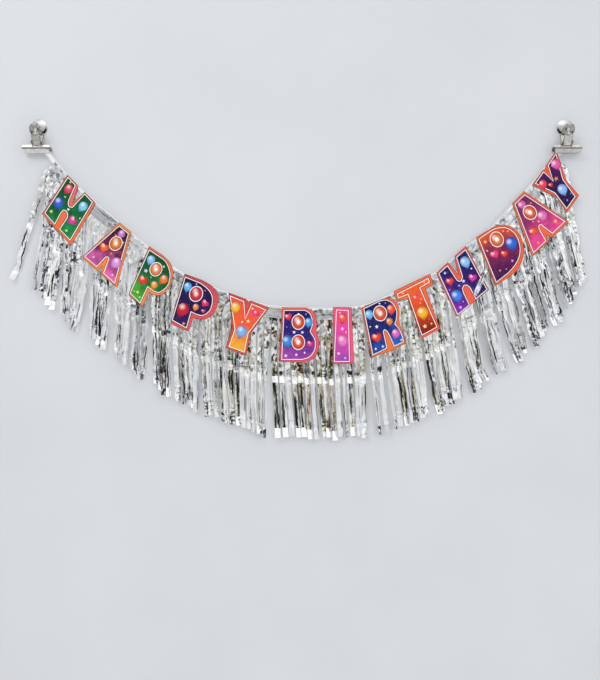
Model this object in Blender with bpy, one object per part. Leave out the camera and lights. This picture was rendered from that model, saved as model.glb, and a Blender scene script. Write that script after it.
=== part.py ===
"""A birthday letter banner on a wall.

Thirteen printed cards hang from a white ribbon between two bulldog clips, in front of a
silver film curtain that is slit into strips. Metres, +Z up, the wall is the plane y = 0 and
the banner's face looks along -Y. The origin lies on the wall, midway between the clips' ears.
"""
import math
import random

import bmesh
import bpy
from mathutils import Matrix, Vector

# Clearance between pieces that touch
SEAT_GAP = 0.0003

# Run of the header, from clip to clip
CLIP_SPACING = 1.3255
LEFT_GRIP_INSET = 0.0315
RIGHT_GRIP_INSET = 0.0265
GRIP_DROP = 0.06375
HEADER_SAG = 0.390
TANGENT_REACH = 0.070
HEADER_SHAPE_SHARES = (
    (-1.0, 1.0), (-0.927, 0.849), (-0.815, 0.673), (-0.714, 0.532), (-0.608, 0.391),
    (-0.469, 0.221), (-0.292, 0.093), (-0.150, 0.022), (0.008, 0.0), (0.166, 0.003),
    (0.264, 0.029), (0.359, 0.096), (0.501, 0.205), (0.580, 0.298), (0.643, 0.391),
    (0.738, 0.510), (0.824, 0.660), (0.903, 0.798), (1.0, 1.0),
)
CURVE_STEPS = 12

# Ribbon and film header band; depths are distances in front of the wall
RIBBON_DEPTH = 0.0130
RIBBON_THICKNESS = 0.0005
RIBBON_WIDTH = 0.013
RIBBON_PEEK = 0.003
RIBBON_TAIL = 0.015
RIBBON_STEPS = 72
FILM_THICKNESS = 0.0003
FILM_START = 0.030
FILM_END = 0.014
BAND_DROP = 0.030
BAND_STEPS = 84

# Fringe strips
BUNCH_STRIPS = (1, 9, 8, 7, 8, 8, 7, 8, 8, 7, 8, 8, 8, 9)
SLIT = 0.0004
ROOT_HEIGHT = 0.006
STRIP_LENGTH = 0.291
STRIP_LENGTH_SPREAD = 0.004
TURN_LENGTH = 0.075
PATH_STEP = 0.004
LEFT_FINAL_LEAN_SHARE = 0.08
RIGHT_FINAL_LEAN_SHARE = 0.16
STRAY_FINAL_LEAN_SHARE = 0.27
GATHER_SHARE = 0.12
YAW_BASE = math.radians(12)
YAW_SLOPE_SHARE = 0.35
YAW_SPREAD = math.radians(3)
RANDOM_SEED = 11
# Places along a strip, as shares of its length, and how far back of the band each one lies,
# as shares of the deepest fold
FOLD_DEPTH = 0.006
FOLD_SHARES = (
    (0.0, 0.0), (0.13, 0.25), (0.28, 0.40), (0.485, 0.55), (0.51, 0.95),
    (0.535, 0.50), (0.73, 0.35), (0.93, 0.60), (1.0, 1.0),
)

# Letter cards
CARD_THICKNESS = 0.0008
PAD_THICKNESS = 0.0010
PAD_LENGTH = 0.018
PAD_HEIGHT = 0.010
PAD_DROP = 0.014
LETTER_HEIGHT = 0.130
ROUND_STEPS = 3
# One row a card: name, letter, place along the header, rise of the top edge's middle above the
# header, width and height, all as shares (of the header's length, then of the letter height)
LETTER_SHARES = (
    ("letter_01_h", "H", 0.080, -0.002, 0.769, 0.923),
    ("letter_02_a", "A", 0.174, 0.003, 0.878, 1.000),
    ("letter_03_p", "P", 0.251, 0.043, 0.673, 1.038),
    ("letter_04_p", "P", 0.328, 0.038, 0.769, 1.010),
    ("letter_05_y", "Y", 0.408, 0.001, 0.835, 1.027),
    ("letter_06_b", "B", 0.492, -0.004, 0.721, 1.058),
    ("letter_07_i", "I", 0.560, 0.001, 0.352, 1.086),
    ("letter_08_r", "R", 0.620, -0.012, 0.731, 0.981),
    ("letter_09_t", "T", 0.680, 0.044, 0.765, 1.046),
    ("letter_10_h", "H", 0.755, 0.015, 0.769, 0.942),
    ("letter_11_d", "D", 0.840, -0.025, 0.779, 0.991),
    ("letter_12_a", "A", 0.903, 0.012, 0.973, 1.017),
    ("letter_13_y", "Y", 0.967, -0.001, 0.812, 0.894),
)
# Tilt of each card's top edge and lean of its upright strokes, in degrees, clockwise from
# level and from upright as seen from the front
LETTER_TILTS = {
    "letter_01_h": (45.0, 31.5), "letter_02_a": (39.0, 30.0), "letter_03_p": (33.0, 23.0),
    "letter_04_p": (20.0, 17.0), "letter_05_y": (20.0, 14.0), "letter_06_b": (1.0, 2.0),
    "letter_07_i": (0.0, 0.0), "letter_08_r": (-22.5, -12.0), "letter_09_t": (-27.0, -21.0),
    "letter_10_h": (-42.5, -26.0), "letter_11_d": (-31.0, -23.0),
    "letter_12_a": (-45.5, -37.4), "letter_13_y": (-55.0, -38.0),
}
# Card outlines as shares of the card's width (rightwards) and height (downwards). A run marked
# round is a smooth curve through its points, and a run marked corners is straight.
OUTLINE_SHARES = {
    "H": (("corners", ((0.0, 0.0), (0.39, 0.0), (0.50, 0.34), (0.615, 0.0), (1.0, 0.0),
                       (1.04, 1.02), (-0.03, 0.98))),),
    "A": (("corners", ((0.33, 0.0), (0.67, 0.0), (1.01, 1.02), (0.55, 1.01), (0.49, 0.885),
                       (0.455, 1.01), (0.0, 0.99))),),
    "P": (("corners", ((0.0, 0.0),)),
          ("round", ((0.47, 0.0), (0.755, 0.045), (0.95, 0.16), (1.02, 0.35), (0.98, 0.54),
                     (0.85, 0.665), (0.67, 0.725), (0.535, 0.73))),
          ("corners", ((0.515, 1.015), (0.02, 0.985)))),
    "Y": (("corners", ((0.0, 0.0), (0.43, 0.0), (0.49, 0.03), (0.55, 0.0), (1.0, 0.0),
                       (0.735, 0.58), (0.755, 1.0), (0.245, 1.0), (0.28, 0.60))),),
    "B": (("corners", ((0.01, 0.0),)),
          ("round", ((0.67, 0.0), (0.85, 0.07), (0.94, 0.20), (0.96, 0.32), (0.95, 0.42))),
          ("round", ((1.02, 0.56), (1.04, 0.69), (0.99, 0.83), (0.87, 0.94), (0.68, 1.0))),
          ("corners", ((0.0, 0.99),))),
    "I": (("corners", ((0.0, 0.0), (1.0, 0.0), (1.15, 1.0), (-0.03, 1.01))),),
    "R": (("corners", ((0.0, 0.0),)),
          ("round", ((0.49, 0.0), (0.69, 0.01), (0.86, 0.07), (0.97, 0.21), (0.985, 0.35),
                     (0.93, 0.49))),
          ("round", ((0.92, 0.62), (0.96, 0.77), (0.97, 0.90), (0.96, 1.0))),
          ("corners", ((0.64, 1.02), (0.50, 1.02), (-0.01, 1.0)))),
    "T": (("corners", ((0.0, 0.0), (1.02, 0.02), (1.0, 0.22), (0.78, 0.23), (0.76, 1.01),
                       (0.24, 1.02), (0.27, 0.25), (-0.01, 0.19))),),
    "D": (("corners", ((0.01, 0.0),)),
          ("round", ((0.48, 0.0), (0.70, 0.04), (0.92, 0.17), (1.03, 0.35), (1.05, 0.53),
                     (0.99, 0.70), (0.87, 0.84), (0.66, 0.96), (0.44, 1.0))),
          ("corners", ((-0.01, 1.01),))),
}
# Places of the foam pads across each card, as shares of its width
PAD_SHARES = {
    "H": (0.19, 0.82), "A": (0.50,), "P": (0.45,), "Y": (0.23, 0.79), "B": (0.45,),
    "I": (0.50,), "R": (0.45,), "T": (0.50,), "D": (0.45,),
}
CARD_COLOURS = {
    "letter_01_h": (0.02, 0.16, 0.07), "letter_02_a": (0.28, 0.05, 0.16),
    "letter_03_p": (0.02, 0.12, 0.06), "letter_04_p": (0.03, 0.03, 0.15),
    "letter_05_y": (0.80, 0.16, 0.04), "letter_06_b": (0.06, 0.03, 0.22),
    "letter_07_i": (0.72, 0.06, 0.30), "letter_08_r": (0.03, 0.05, 0.25),
    "letter_09_t": (0.62, 0.08, 0.03), "letter_10_h": (0.10, 0.03, 0.20),
    "letter_11_d": (0.42, 0.05, 0.08), "letter_12_a": (0.50, 0.05, 0.25),
    "letter_13_y": (0.06, 0.02, 0.12),
}

# Bulldog clips
PLATE_THICKNESS = 0.0009
REAR_EAR_RADIUS = 0.0205
FRONT_EAR_RADIUS = 0.0144
EAR_HOLE_RADIUS = 0.0033
FRONT_EAR_DROP = 0.0122
EAR_SEGMENTS = 28
HOLE_SEGMENTS = 12
REAR_NECK_WIDTH = 0.0240
FRONT_NECK_WIDTH = 0.0215
NECK_FLARE = 0.0015
JAW_WIDTH = 0.0680
LIP_WIDTH = 0.0635
JAW_CORNER = 0.0020
EAR_BEND_DROP = 0.0200
NECK_TOP_DROP = 0.0370
NECK_FOOT_DROP = 0.0485
LEDGE_DROP = 0.0562
CREASE_DROP = 0.0578
PINCH_DROP = 0.0665
LIP_DROP = 0.0680
LIP_CURL = 0.0004
CLIP_MIDDLE = 0.0140
NECK_HALF_DEPTH = 0.0060
JAW_HALF_DEPTH = 0.0124
FRONT_EAR_RISE = 0.0190
PIN_DROP = 0.0420
PIN_RADIUS = 0.0015
PIN_HEAD_RADIUS = 0.0024
PIN_HEAD_LENGTH = 0.0010
PIN_SIDES = 12
PIN_CLEARANCE = 0.00025
LUG_HALF_HEIGHT = 0.0038
LUG_REACH = 0.0028
SPRING_WIRE_RADIUS = 0.0007
SPRING_TURNS = 6
SPRING_TURN_POINTS = 9
SPRING_AIR = 0.0005
SPRING_LEG_RISE = 0.0120
SPRING_LEG_SPREAD = 0.0030
SPRING_LEG_POINTS = 3


def clear_scene():
    for thing in list(bpy.data.objects):
        bpy.data.objects.remove(thing, do_unlink=True)


def finish_material(name, colour, roughness, metallic):
    material = bpy.data.materials.get(name)
    if material is None:
        material = bpy.data.materials.new(name)
        material.use_nodes = True
        shader = material.node_tree.nodes["Principled BSDF"]
        shader.inputs["Base Color"].default_value = (*colour, 1.0)
        shader.inputs["Roughness"].default_value = roughness
        shader.inputs["Metallic"].default_value = metallic
        material.diffuse_color = (*colour, 1.0)
    return material


def add_object(name, mesh, material, parent=None, thickness=None):
    """Turn a bmesh into a named object, with an optional sheet thickness about its middle."""
    bmesh.ops.recalc_face_normals(mesh, faces=mesh.faces)
    data = bpy.data.meshes.new(name)
    mesh.to_mesh(data)
    mesh.free()
    data.materials.append(material)
    piece = bpy.data.objects.new(name, data)
    bpy.context.scene.collection.objects.link(piece)
    piece.parent = parent
    if thickness is not None:
        wall = piece.modifiers.new("wall", "SOLIDIFY")
        wall.thickness = thickness
        wall.offset = 0.0
        wall.use_even_offset = True
    return piece


def smooth_curve(points, steps, closed_ends=True):
    """Points on a Catmull-Rom curve through the given ones."""
    first = points[0] * 2 - points[1]
    last = points[-1] * 2 - points[-2]
    run = [first, *points, last]
    curve = []
    for a, b, c, d in zip(run, run[1:], run[2:], run[3:]):
        for step in range(steps):
            t = step / steps
            curve.append(0.5 * (
                b * 2 + (c - a) * t + (a * 2 - b * 5 + c * 4 - d) * t ** 2
                + (b * 3 - a - c * 3 + d) * t ** 3))
    if closed_ends:
        curve.append(points[-1].copy())
    return curve


class Header:
    """The line of the ribbon's top edge in the plane of the wall, read by its length."""

    def __init__(self):
        left = -CLIP_SPACING / 2 + LEFT_GRIP_INSET
        right = CLIP_SPACING / 2 - RIGHT_GRIP_INSET
        middle = (left + right) / 2
        half_span = (right - left) / 2
        lowest = -GRIP_DROP - HEADER_SAG
        chosen = [
            Vector((middle + across * half_span, lowest + up * HEADER_SAG))
            for across, up in HEADER_SHAPE_SHARES
        ]
        self.points = smooth_curve(chosen, CURVE_STEPS)
        self.places = [0.0]
        for a, b in zip(self.points, self.points[1:]):
            self.places.append(self.places[-1] + (b - a).length)
        self.length = self.places[-1]

    def point(self, place):
        """The point at a length along the line, which runs on straight past its ends."""
        last = len(self.places) - 2
        index = 0
        while index < last and self.places[index + 1] < place:
            index += 1
        a, b = self.points[index], self.points[index + 1]
        share = (place - self.places[index]) / (self.places[index + 1] - self.places[index])
        return a + (b - a) * share

    def along(self, place):
        """Unit direction of the line, evened out over a short reach, pointing right."""
        return (self.point(place + TANGENT_REACH / 2)
                - self.point(place - TANGENT_REACH / 2)).normalized()

    def below(self, place, drop):
        """The point that lies square below the line at a place, on the swag's outer side."""
        along = self.along(place)
        down = Vector((along.y, -along.x))
        return self.point(place) + down * drop

    def slope(self, place):
        """Angle of the line, positive where it falls to the right."""
        along = self.along(place)
        return math.atan2(-along.y, along.x)


def in_front(point, depth):
    return Vector((point.x, -depth, point.y))


def sheet_on_header(header, start, end, upper_drop, lower_drop, depth, steps):
    """A strip of sheet that follows the header between two drops."""
    mesh = bmesh.new()
    bmesh.ops.create_grid(mesh, x_segments=steps, y_segments=1, size=1.0)
    for vert in mesh.verts:
        along_share = (vert.co.x + 1) / 2
        drop = upper_drop if vert.co.y > 0 else lower_drop
        vert.co = in_front(header.below(start + (end - start) * along_share, drop), depth)
    return mesh


def make_ribbon(header):
    satin = finish_material("white_satin", (0.86, 0.86, 0.88), 0.35, 0.0)
    mesh = sheet_on_header(
        header, -RIBBON_TAIL, header.length + RIBBON_TAIL, 0.0, RIBBON_WIDTH,
        RIBBON_DEPTH + RIBBON_THICKNESS / 2, RIBBON_STEPS)
    return add_object("ribbon", mesh, satin, thickness=RIBBON_THICKNESS)


def film_depth():
    """Middle of the film, which lies against the front of the ribbon."""
    return RIBBON_DEPTH + RIBBON_THICKNESS + SEAT_GAP + FILM_THICKNESS / 2


def film_material():
    return finish_material("silver_film", (0.80, 0.81, 0.82), 0.15, 1.0)


def make_header_band(header):
    mesh = sheet_on_header(
        header, FILM_START, header.length - FILM_END, RIBBON_PEEK, BAND_DROP,
        film_depth(), BAND_STEPS)
    return add_object("foil_header", mesh, film_material(), thickness=FILM_THICKNESS)


def ease(share):
    share = min(max(share, 0.0), 1.0)
    return share * share * (3 - 2 * share)


class Strip:
    """One strip of the fringe: where its middle runs, and how it leans and turns."""

    def __init__(self, header, start, end, stray, gather, chance):
        self.root = (start + end) / 2
        self.width = end - start
        self.slope = header.slope(self.root)
        self.final_lean_share = (
            STRAY_FINAL_LEAN_SHARE if stray
            else LEFT_FINAL_LEAN_SHARE if self.slope > 0 else RIGHT_FINAL_LEAN_SHARE)
        self.gather = gather
        self.yaw = (YAW_BASE + abs(self.slope) * YAW_SLOPE_SHARE
                    + chance.uniform(-YAW_SPREAD, YAW_SPREAD))
        self.length = STRIP_LENGTH + chance.uniform(-STRIP_LENGTH_SPREAD, STRIP_LENGTH_SPREAD)
        self.foot = header.below(self.root, BAND_DROP + SEAT_GAP + ROOT_HEIGHT)

    def lean(self, run):
        """Angle from upright at a length down the strip, positive towards the left."""
        rest = 1 - ease(run / TURN_LENGTH)
        return self.slope * (self.final_lean_share + (1 - self.final_lean_share) * rest)

    def middle(self, run):
        """Point of the strip's middle at a length below its root."""
        point = self.foot.copy()
        steps = max(1, math.ceil(run / PATH_STEP))
        for step in range(steps):
            lean = self.lean(run * (step + 0.5) / steps)
            point += Vector((-math.sin(lean), -math.cos(lean))) * (run / steps)
        return point + Vector((self.gather * ease(run / STRIP_LENGTH), 0.0))

    def edges(self, run, back):
        """Left and right edge points at a length below the root; the right edge turns back."""
        lean = self.lean(run)
        yaw = self.yaw * ease(run / TURN_LENGTH)
        across = Vector((
            math.cos(lean) * math.cos(yaw), math.sin(yaw), -math.sin(lean) * math.cos(yaw)))
        depth = film_depth() - back - self.width / 2 * math.sin(yaw)
        middle = in_front(self.middle(run), depth)
        return middle - across * (self.width / 2), middle + across * (self.width / 2)


def fringe_layout(header):
    """Start and end places of every bunch along the header, with its strips' pitch."""
    start = FILM_START
    pitch = (header.length - FILM_END - start) / sum(BUNCH_STRIPS)
    layout = []
    for count in BUNCH_STRIPS:
        layout.append((start, count, pitch))
        start += count * pitch
    return layout


def make_bunch(header, number, start, count, pitch):
    """A bunch of strips that hang from a narrow unslit root below the header band."""
    chance = random.Random(RANDOM_SEED + number)
    mesh = bmesh.new()
    root_top = BAND_DROP + SEAT_GAP
    previous = None
    bunch_middle = start + count * pitch / 2
    hinge_ends = []
    for index in range(count):
        left = start + index * pitch + SLIT / 2
        right = start + (index + 1) * pitch - SLIT / 2
        gather = (bunch_middle - (left + right) / 2) * GATHER_SHARE
        strip = Strip(header, left, right, count == 1, gather, chance)
        rows = [tuple(mesh.verts.new(in_front(header.below(place, root_top), film_depth()))
                      for place in (left, right))]
        for run_share, fold_share in FOLD_SHARES:
            edges = strip.edges(strip.length * run_share, FOLD_DEPTH * fold_share)
            rows.append(tuple(mesh.verts.new(point) for point in edges))
        for upper, lower in zip(rows, rows[1:]):
            mesh.faces.new((upper[0], upper[1], lower[1], lower[0]))
        if previous is not None:
            mesh.faces.new((previous[0][1], rows[0][0], rows[1][0], previous[1][1]))
        previous = rows
        hinge_ends += [rows[0][0].co.copy(), rows[0][1].co.copy()]
    hinge_start, hinge_end = hinge_ends[0], hinge_ends[-1]
    hinge = hinge_on("bunch_%02d_hinge" % number, (hinge_start + hinge_end) / 2,
                     hinge_end - hinge_start)
    bmesh.ops.transform(mesh, matrix=hinge.matrix_world.inverted(), verts=mesh.verts)
    return add_object("fringe_bunch_%02d" % number, mesh, film_material(), parent=hinge,
                      thickness=FILM_THICKNESS)


def hinge_on(name, place, direction):
    """An empty on a hinge line: its X axis runs along the line, and its Y axis faces back."""
    hinge = bpy.data.objects.new(name, None)
    bpy.context.scene.collection.objects.link(hinge)
    across = direction.normalized()
    back = Vector((0, 1, 0))
    up = across.cross(back)
    turn = Matrix((across, back, up)).transposed()
    hinge.matrix_world = Matrix.Translation(place) @ turn.to_4x4()
    return hinge


class Card:
    """Place, tilt and size of one letter card, and the way from its shares to the wall's plane."""

    def __init__(self, header, row):
        self.name, self.letter, place_share, rise_share, width_share, height_share = row
        self.width = LETTER_HEIGHT * width_share
        self.height = LETTER_HEIGHT * height_share
        tilt, lean = (math.radians(angle) for angle in LETTER_TILTS[self.name])
        self.across = Vector((math.cos(tilt), -math.sin(tilt)))
        self.down = Vector((-math.sin(lean), -math.cos(lean)))
        middle = header.below(header.length * place_share, -LETTER_HEIGHT * rise_share)
        self.corner = middle - self.across * (self.width / 2)

    def point(self, across_share, down_share):
        return (self.corner + self.across * (self.width * across_share)
                + self.down * (self.height * down_share))


def card_outline(card):
    points = []
    for kind, shares in OUTLINE_SHARES[card.letter]:
        run = [card.point(*pair) for pair in shares]
        points += smooth_curve(run, ROUND_STEPS) if kind == "round" else run
    return points


def film_front():
    return film_depth() + FILM_THICKNESS / 2


def make_card(header, row):
    """A card with its foam pads, on an empty at the hinge along its top edge."""
    card = Card(header, row)
    hinge = hinge_on(card.name + "_hinge", in_front(card.point(0.5, 0.0), film_front()),
                     in_front(card.across, 0.0))
    to_hinge = hinge.matrix_world.inverted()
    back = film_front() + SEAT_GAP * 2 + PAD_THICKNESS
    board = finish_material("print_" + card.name, CARD_COLOURS[card.name], 0.30, 0.0)
    mesh = bmesh.new()
    face = mesh.faces.new(
        [mesh.verts.new(to_hinge @ in_front(point, back)) for point in card_outline(card)])
    pushed = bmesh.ops.extrude_face_region(mesh, geom=[face])
    front = [item for item in pushed["geom"] if isinstance(item, bmesh.types.BMVert)]
    bmesh.ops.translate(mesh, vec=(0, -CARD_THICKNESS, 0), verts=front)
    add_object(card.name, mesh, board, parent=hinge)
    foam = finish_material("white_foam", (0.85, 0.85, 0.83), 0.9, 0.0)
    for letter, across_share in zip("ab", PAD_SHARES[card.letter]):
        make_pad(card, across_share, letter, foam, hinge)


def make_pad(card, across_share, letter, foam, hinge):
    pad = bmesh.new()
    bmesh.ops.create_cube(pad, size=1.0)
    square_down = Vector((card.across.y, -card.across.x))
    slant = -PAD_DROP / card.down.dot(square_down)
    middle = card.point(across_share, 0.0) - card.down * slant
    depth = film_front() + SEAT_GAP + PAD_THICKNESS / 2
    bmesh.ops.scale(pad, vec=(PAD_LENGTH, PAD_THICKNESS, PAD_HEIGHT), verts=pad.verts)
    place = hinge.matrix_world.inverted() @ in_front(middle, depth)
    bmesh.ops.translate(pad, vec=place, verts=pad.verts)
    add_object("%s_pad_%s" % (card.name, letter), pad, foam, parent=hinge)


def plate_outline(ear_middle, ear_radius, neck_width):
    """Half of a clip plate from the top of its ear to the middle of its lip, seen from in front."""
    neck = neck_width / 2
    last = math.asin(neck / ear_radius)
    outline = []
    for step in range(EAR_SEGMENTS // 2 + 1):
        turn = (math.pi - last) * step / (EAR_SEGMENTS // 2)
        outline.append(Vector((ear_radius * math.sin(turn),
                               ear_middle + ear_radius * math.cos(turn))))
    outline += [
        Vector((neck, -NECK_TOP_DROP)),
        Vector((neck, -(NECK_FOOT_DROP - NECK_FLARE * 2))),
        Vector((neck + NECK_FLARE, -NECK_FOOT_DROP)),
        Vector((JAW_WIDTH / 2 - JAW_CORNER, -NECK_FOOT_DROP - NECK_FLARE)),
        Vector((JAW_WIDTH / 2, -NECK_FOOT_DROP - NECK_FLARE - JAW_CORNER)),
        Vector((JAW_WIDTH / 2, -CREASE_DROP)),
        Vector((LIP_WIDTH / 2, -PINCH_DROP)),
        Vector((LIP_WIDTH / 2 - JAW_CORNER / 2, -LIP_DROP)),
    ]
    return outline


def profile_depth(profile, height):
    """Depth of a plate's middle at a height, between the rows of its profile."""
    for (upper, upper_depth), (lower, lower_depth) in zip(profile, profile[1:]):
        if height >= lower:
            share = (upper - height) / (upper - lower)
            return upper_depth + (lower_depth - upper_depth) * share
    return profile[-1][1]


def rear_profile(ribbon_back):
    """Heights and depths of the rear plate's middle, from its ear to its lip."""
    half = PLATE_THICKNESS / 2
    pinch = ribbon_back - SEAT_GAP - half
    return [
        (REAR_EAR_RADIUS, half),
        (-EAR_BEND_DROP, half),
        (-(EAR_BEND_DROP + NECK_TOP_DROP) / 2, (half + CLIP_MIDDLE - NECK_HALF_DEPTH) / 2.2),
        (-NECK_TOP_DROP, CLIP_MIDDLE - NECK_HALF_DEPTH),
        (-NECK_FOOT_DROP, CLIP_MIDDLE - NECK_HALF_DEPTH),
        (-LEDGE_DROP, CLIP_MIDDLE - JAW_HALF_DEPTH),
        (-CREASE_DROP, CLIP_MIDDLE - JAW_HALF_DEPTH),
        (-PINCH_DROP, pinch),
        (-LIP_DROP, pinch - LIP_CURL),
    ]


def front_profile(stack_front):
    """The same for the front plate, whose ear leans away from the wall."""
    pinch = stack_front + SEAT_GAP + PLATE_THICKNESS / 2
    top = FRONT_EAR_RADIUS - FRONT_EAR_DROP
    return [
        (top, CLIP_MIDDLE + FRONT_EAR_RISE),
        (-NECK_TOP_DROP, CLIP_MIDDLE + NECK_HALF_DEPTH),
        (-NECK_FOOT_DROP, CLIP_MIDDLE + NECK_HALF_DEPTH),
        (-LEDGE_DROP, CLIP_MIDDLE + JAW_HALF_DEPTH),
        (-CREASE_DROP, CLIP_MIDDLE + JAW_HALF_DEPTH),
        (-PINCH_DROP, pinch),
        (-LIP_DROP, pinch + LIP_CURL),
    ]


def plate_mesh(ear_middle, ear_radius, neck_width, profile, inwards):
    """A plate cut from flat sheet with a holed ear, folded to its profile, with two lugs."""
    half = plate_outline(ear_middle, ear_radius, neck_width)
    outline = half + [Vector((-point.x, point.y)) for point in reversed(half[1:])]
    hole = [
        Vector((EAR_HOLE_RADIUS * math.sin(turn), ear_middle + EAR_HOLE_RADIUS * math.cos(turn)))
        for turn in (2 * math.pi * step / HOLE_SEGMENTS for step in range(HOLE_SEGMENTS))
    ]
    mesh = bmesh.new()
    edges = []
    for loop in (outline, hole):
        verts = [mesh.verts.new((point.x, 0.0, point.y)) for point in loop]
        edges += [mesh.edges.new(pair) for pair in zip(verts, verts[1:] + verts[:1])]
    bmesh.ops.triangle_fill(mesh, edges=edges, use_beauty=True, use_dissolve=False,
                            normal=(0, -1, 0))
    lug_levels = (-PIN_DROP + LUG_HALF_HEIGHT, -PIN_DROP - LUG_HALF_HEIGHT)
    levels = [height for height, depth in profile[1:-1]] + list(lug_levels)
    for level in levels:
        bmesh.ops.bisect_plane(mesh, geom=mesh.verts[:] + mesh.edges[:] + mesh.faces[:],
                               dist=1e-7, plane_co=(0, 0, level), plane_no=(0, 0, 1))
    for vert in mesh.verts:
        vert.co.y = -profile_depth(profile, vert.co.z)
    lug_edges = [
        edge for edge in mesh.edges
        if edge.is_boundary and all(
            abs(vert.co.x) <= neck_width / 2 + SEAT_GAP / 10
            and lug_levels[1] - SEAT_GAP / 10 <= vert.co.z <= lug_levels[0] + SEAT_GAP / 10
            for vert in edge.verts)
    ]
    lug = bmesh.ops.extrude_edge_only(mesh, edges=lug_edges)
    lug_verts = [item for item in lug["geom"] if isinstance(item, bmesh.types.BMVert)]
    bmesh.ops.translate(mesh, vec=(0, inwards * (NECK_HALF_DEPTH + LUG_REACH), 0),
                        verts=lug_verts)
    return mesh


def pin_mesh(neck_width):
    """A pin along X with a flat head at each end, turned from one profile."""
    half = neck_width / 2 + PLATE_THICKNESS / 2 + SEAT_GAP
    outline = [
        (-half - PIN_HEAD_LENGTH, 0.0), (-half - PIN_HEAD_LENGTH, PIN_HEAD_RADIUS),
        (-half, PIN_HEAD_RADIUS), (-half, PIN_RADIUS), (half, PIN_RADIUS),
        (half, PIN_HEAD_RADIUS), (half + PIN_HEAD_LENGTH, PIN_HEAD_RADIUS),
        (half + PIN_HEAD_LENGTH, 0.0),
    ]
    mesh = bmesh.new()
    verts = [mesh.verts.new((x, 0.0, radius)) for x, radius in outline]
    edges = [mesh.edges.new(pair) for pair in zip(verts, verts[1:])]
    bmesh.ops.spin(mesh, geom=verts + edges, cent=(0, 0, 0), axis=(1, 0, 0),
                   angle=2 * math.pi, steps=PIN_SIDES, use_merge=True)
    bmesh.ops.remove_doubles(mesh, verts=mesh.verts, dist=1e-6)
    return mesh


def cut_pin_hole(piece, clip_x):
    """Bore both lugs of a plate for the pin, with running clearance."""
    mesh = bmesh.new()
    bmesh.ops.create_cone(mesh, cap_ends=True, segments=PIN_SIDES,
                          radius1=PIN_RADIUS + PIN_CLEARANCE, radius2=PIN_RADIUS + PIN_CLEARANCE,
                          depth=REAR_NECK_WIDTH * 2,
                          matrix=Matrix.Rotation(math.pi / 2, 4, "Y"))
    cutter = add_object(piece.name + "_bore", mesh, piece.data.materials[0])
    cutter.location = (clip_x, -CLIP_MIDDLE, -PIN_DROP)
    cutter.hide_render = True
    cutter.display_type = "WIRE"
    bore = piece.modifiers.new("bore", "BOOLEAN")
    bore.operation = "DIFFERENCE"
    bore.object = cutter


def spring_points():
    """Middle line of the torsion spring: a leg up the rear plate, the turns, a leg up the front."""
    radius = PIN_RADIUS + SEAT_GAP + SPRING_AIR + SPRING_WIRE_RADIUS
    pitch = SPRING_WIRE_RADIUS * 2 + SPRING_AIR
    length = pitch * SPRING_TURNS
    total = SPRING_TURNS * SPRING_TURN_POINTS + SPRING_TURN_POINTS // 2
    turns = []
    for step in range(total + 1):
        turn = 2 * math.pi * step / SPRING_TURN_POINTS
        turns.append(Vector((-length / 2 + pitch * step / SPRING_TURN_POINTS,
                             radius * math.cos(turn), -radius * math.sin(turn))))
    rear_leg = [
        turns[0] + Vector((0, SPRING_LEG_SPREAD, SPRING_LEG_RISE)) * (
            step / SPRING_LEG_POINTS) for step in range(SPRING_LEG_POINTS, 0, -1)]
    front_leg = [
        turns[-1] + Vector((0, -SPRING_LEG_SPREAD, SPRING_LEG_RISE)) * (
            step / SPRING_LEG_POINTS) for step in range(1, SPRING_LEG_POINTS + 1)]
    return rear_leg + turns + front_leg


def least_gap(points):
    """Least air between stretches of the spring's wire that aren't neighbours along it."""
    skip = SPRING_TURN_POINTS // 2
    return min(
        (points[i] - points[j]).length
        for i in range(len(points)) for j in range(i + skip, len(points))
    ) - SPRING_WIRE_RADIUS * 2


def make_spring(name, steel, clip_x):
    points = spring_points()
    print("%s least gap to itself %.2f mm" % (name, least_gap(points) * 1000))
    curve = bpy.data.curves.new(name, "CURVE")
    curve.dimensions = "3D"
    curve.bevel_depth = SPRING_WIRE_RADIUS
    curve.bevel_resolution = 1
    curve.use_fill_caps = True
    spline = curve.splines.new("POLY")
    spline.points.add(len(points) - 1)
    for knot, point in zip(spline.points, points):
        knot.co = (*point, 1.0)
    curve.materials.append(steel)
    spring = bpy.data.objects.new(name, curve)
    bpy.context.scene.collection.objects.link(spring)
    spring.location = (clip_x, -CLIP_MIDDLE, -PIN_DROP)
    return spring


def round_shading(piece):
    piece.data.shade_smooth()
    piece.data.set_sharp_from_angle(angle=math.radians(35))


def make_clip(side, clip_x, stack_front):
    nickel = finish_material("nickel_plate", (0.62, 0.60, 0.56), 0.22, 1.0)
    steel = finish_material("spring_wire", (0.45, 0.45, 0.46), 0.30, 1.0)
    rear = add_object(
        side + "_clip_rear_plate",
        plate_mesh(0.0, REAR_EAR_RADIUS, REAR_NECK_WIDTH, rear_profile(RIBBON_DEPTH), -1),
        nickel, thickness=PLATE_THICKNESS)
    rear.location.x = clip_x
    cut_pin_hole(rear, clip_x)
    hinge = hinge_on(side + "_clip_hinge", Vector((clip_x, -CLIP_MIDDLE, -PIN_DROP)),
                     Vector((1, 0, 0)))
    mesh = plate_mesh(-FRONT_EAR_DROP, FRONT_EAR_RADIUS, FRONT_NECK_WIDTH,
                      front_profile(stack_front), 1)
    bmesh.ops.translate(mesh, vec=(0, CLIP_MIDDLE, PIN_DROP), verts=mesh.verts)
    front = add_object(side + "_clip_front_plate", mesh, nickel, parent=hinge,
                       thickness=PLATE_THICKNESS)
    cut_pin_hole(front, clip_x)
    pin = add_object(side + "_clip_pin", pin_mesh(REAR_NECK_WIDTH), steel)
    pin.location = (clip_x, -CLIP_MIDDLE, -PIN_DROP)
    round_shading(pin)
    make_spring(side + "_clip_spring", steel, clip_x)


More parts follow.
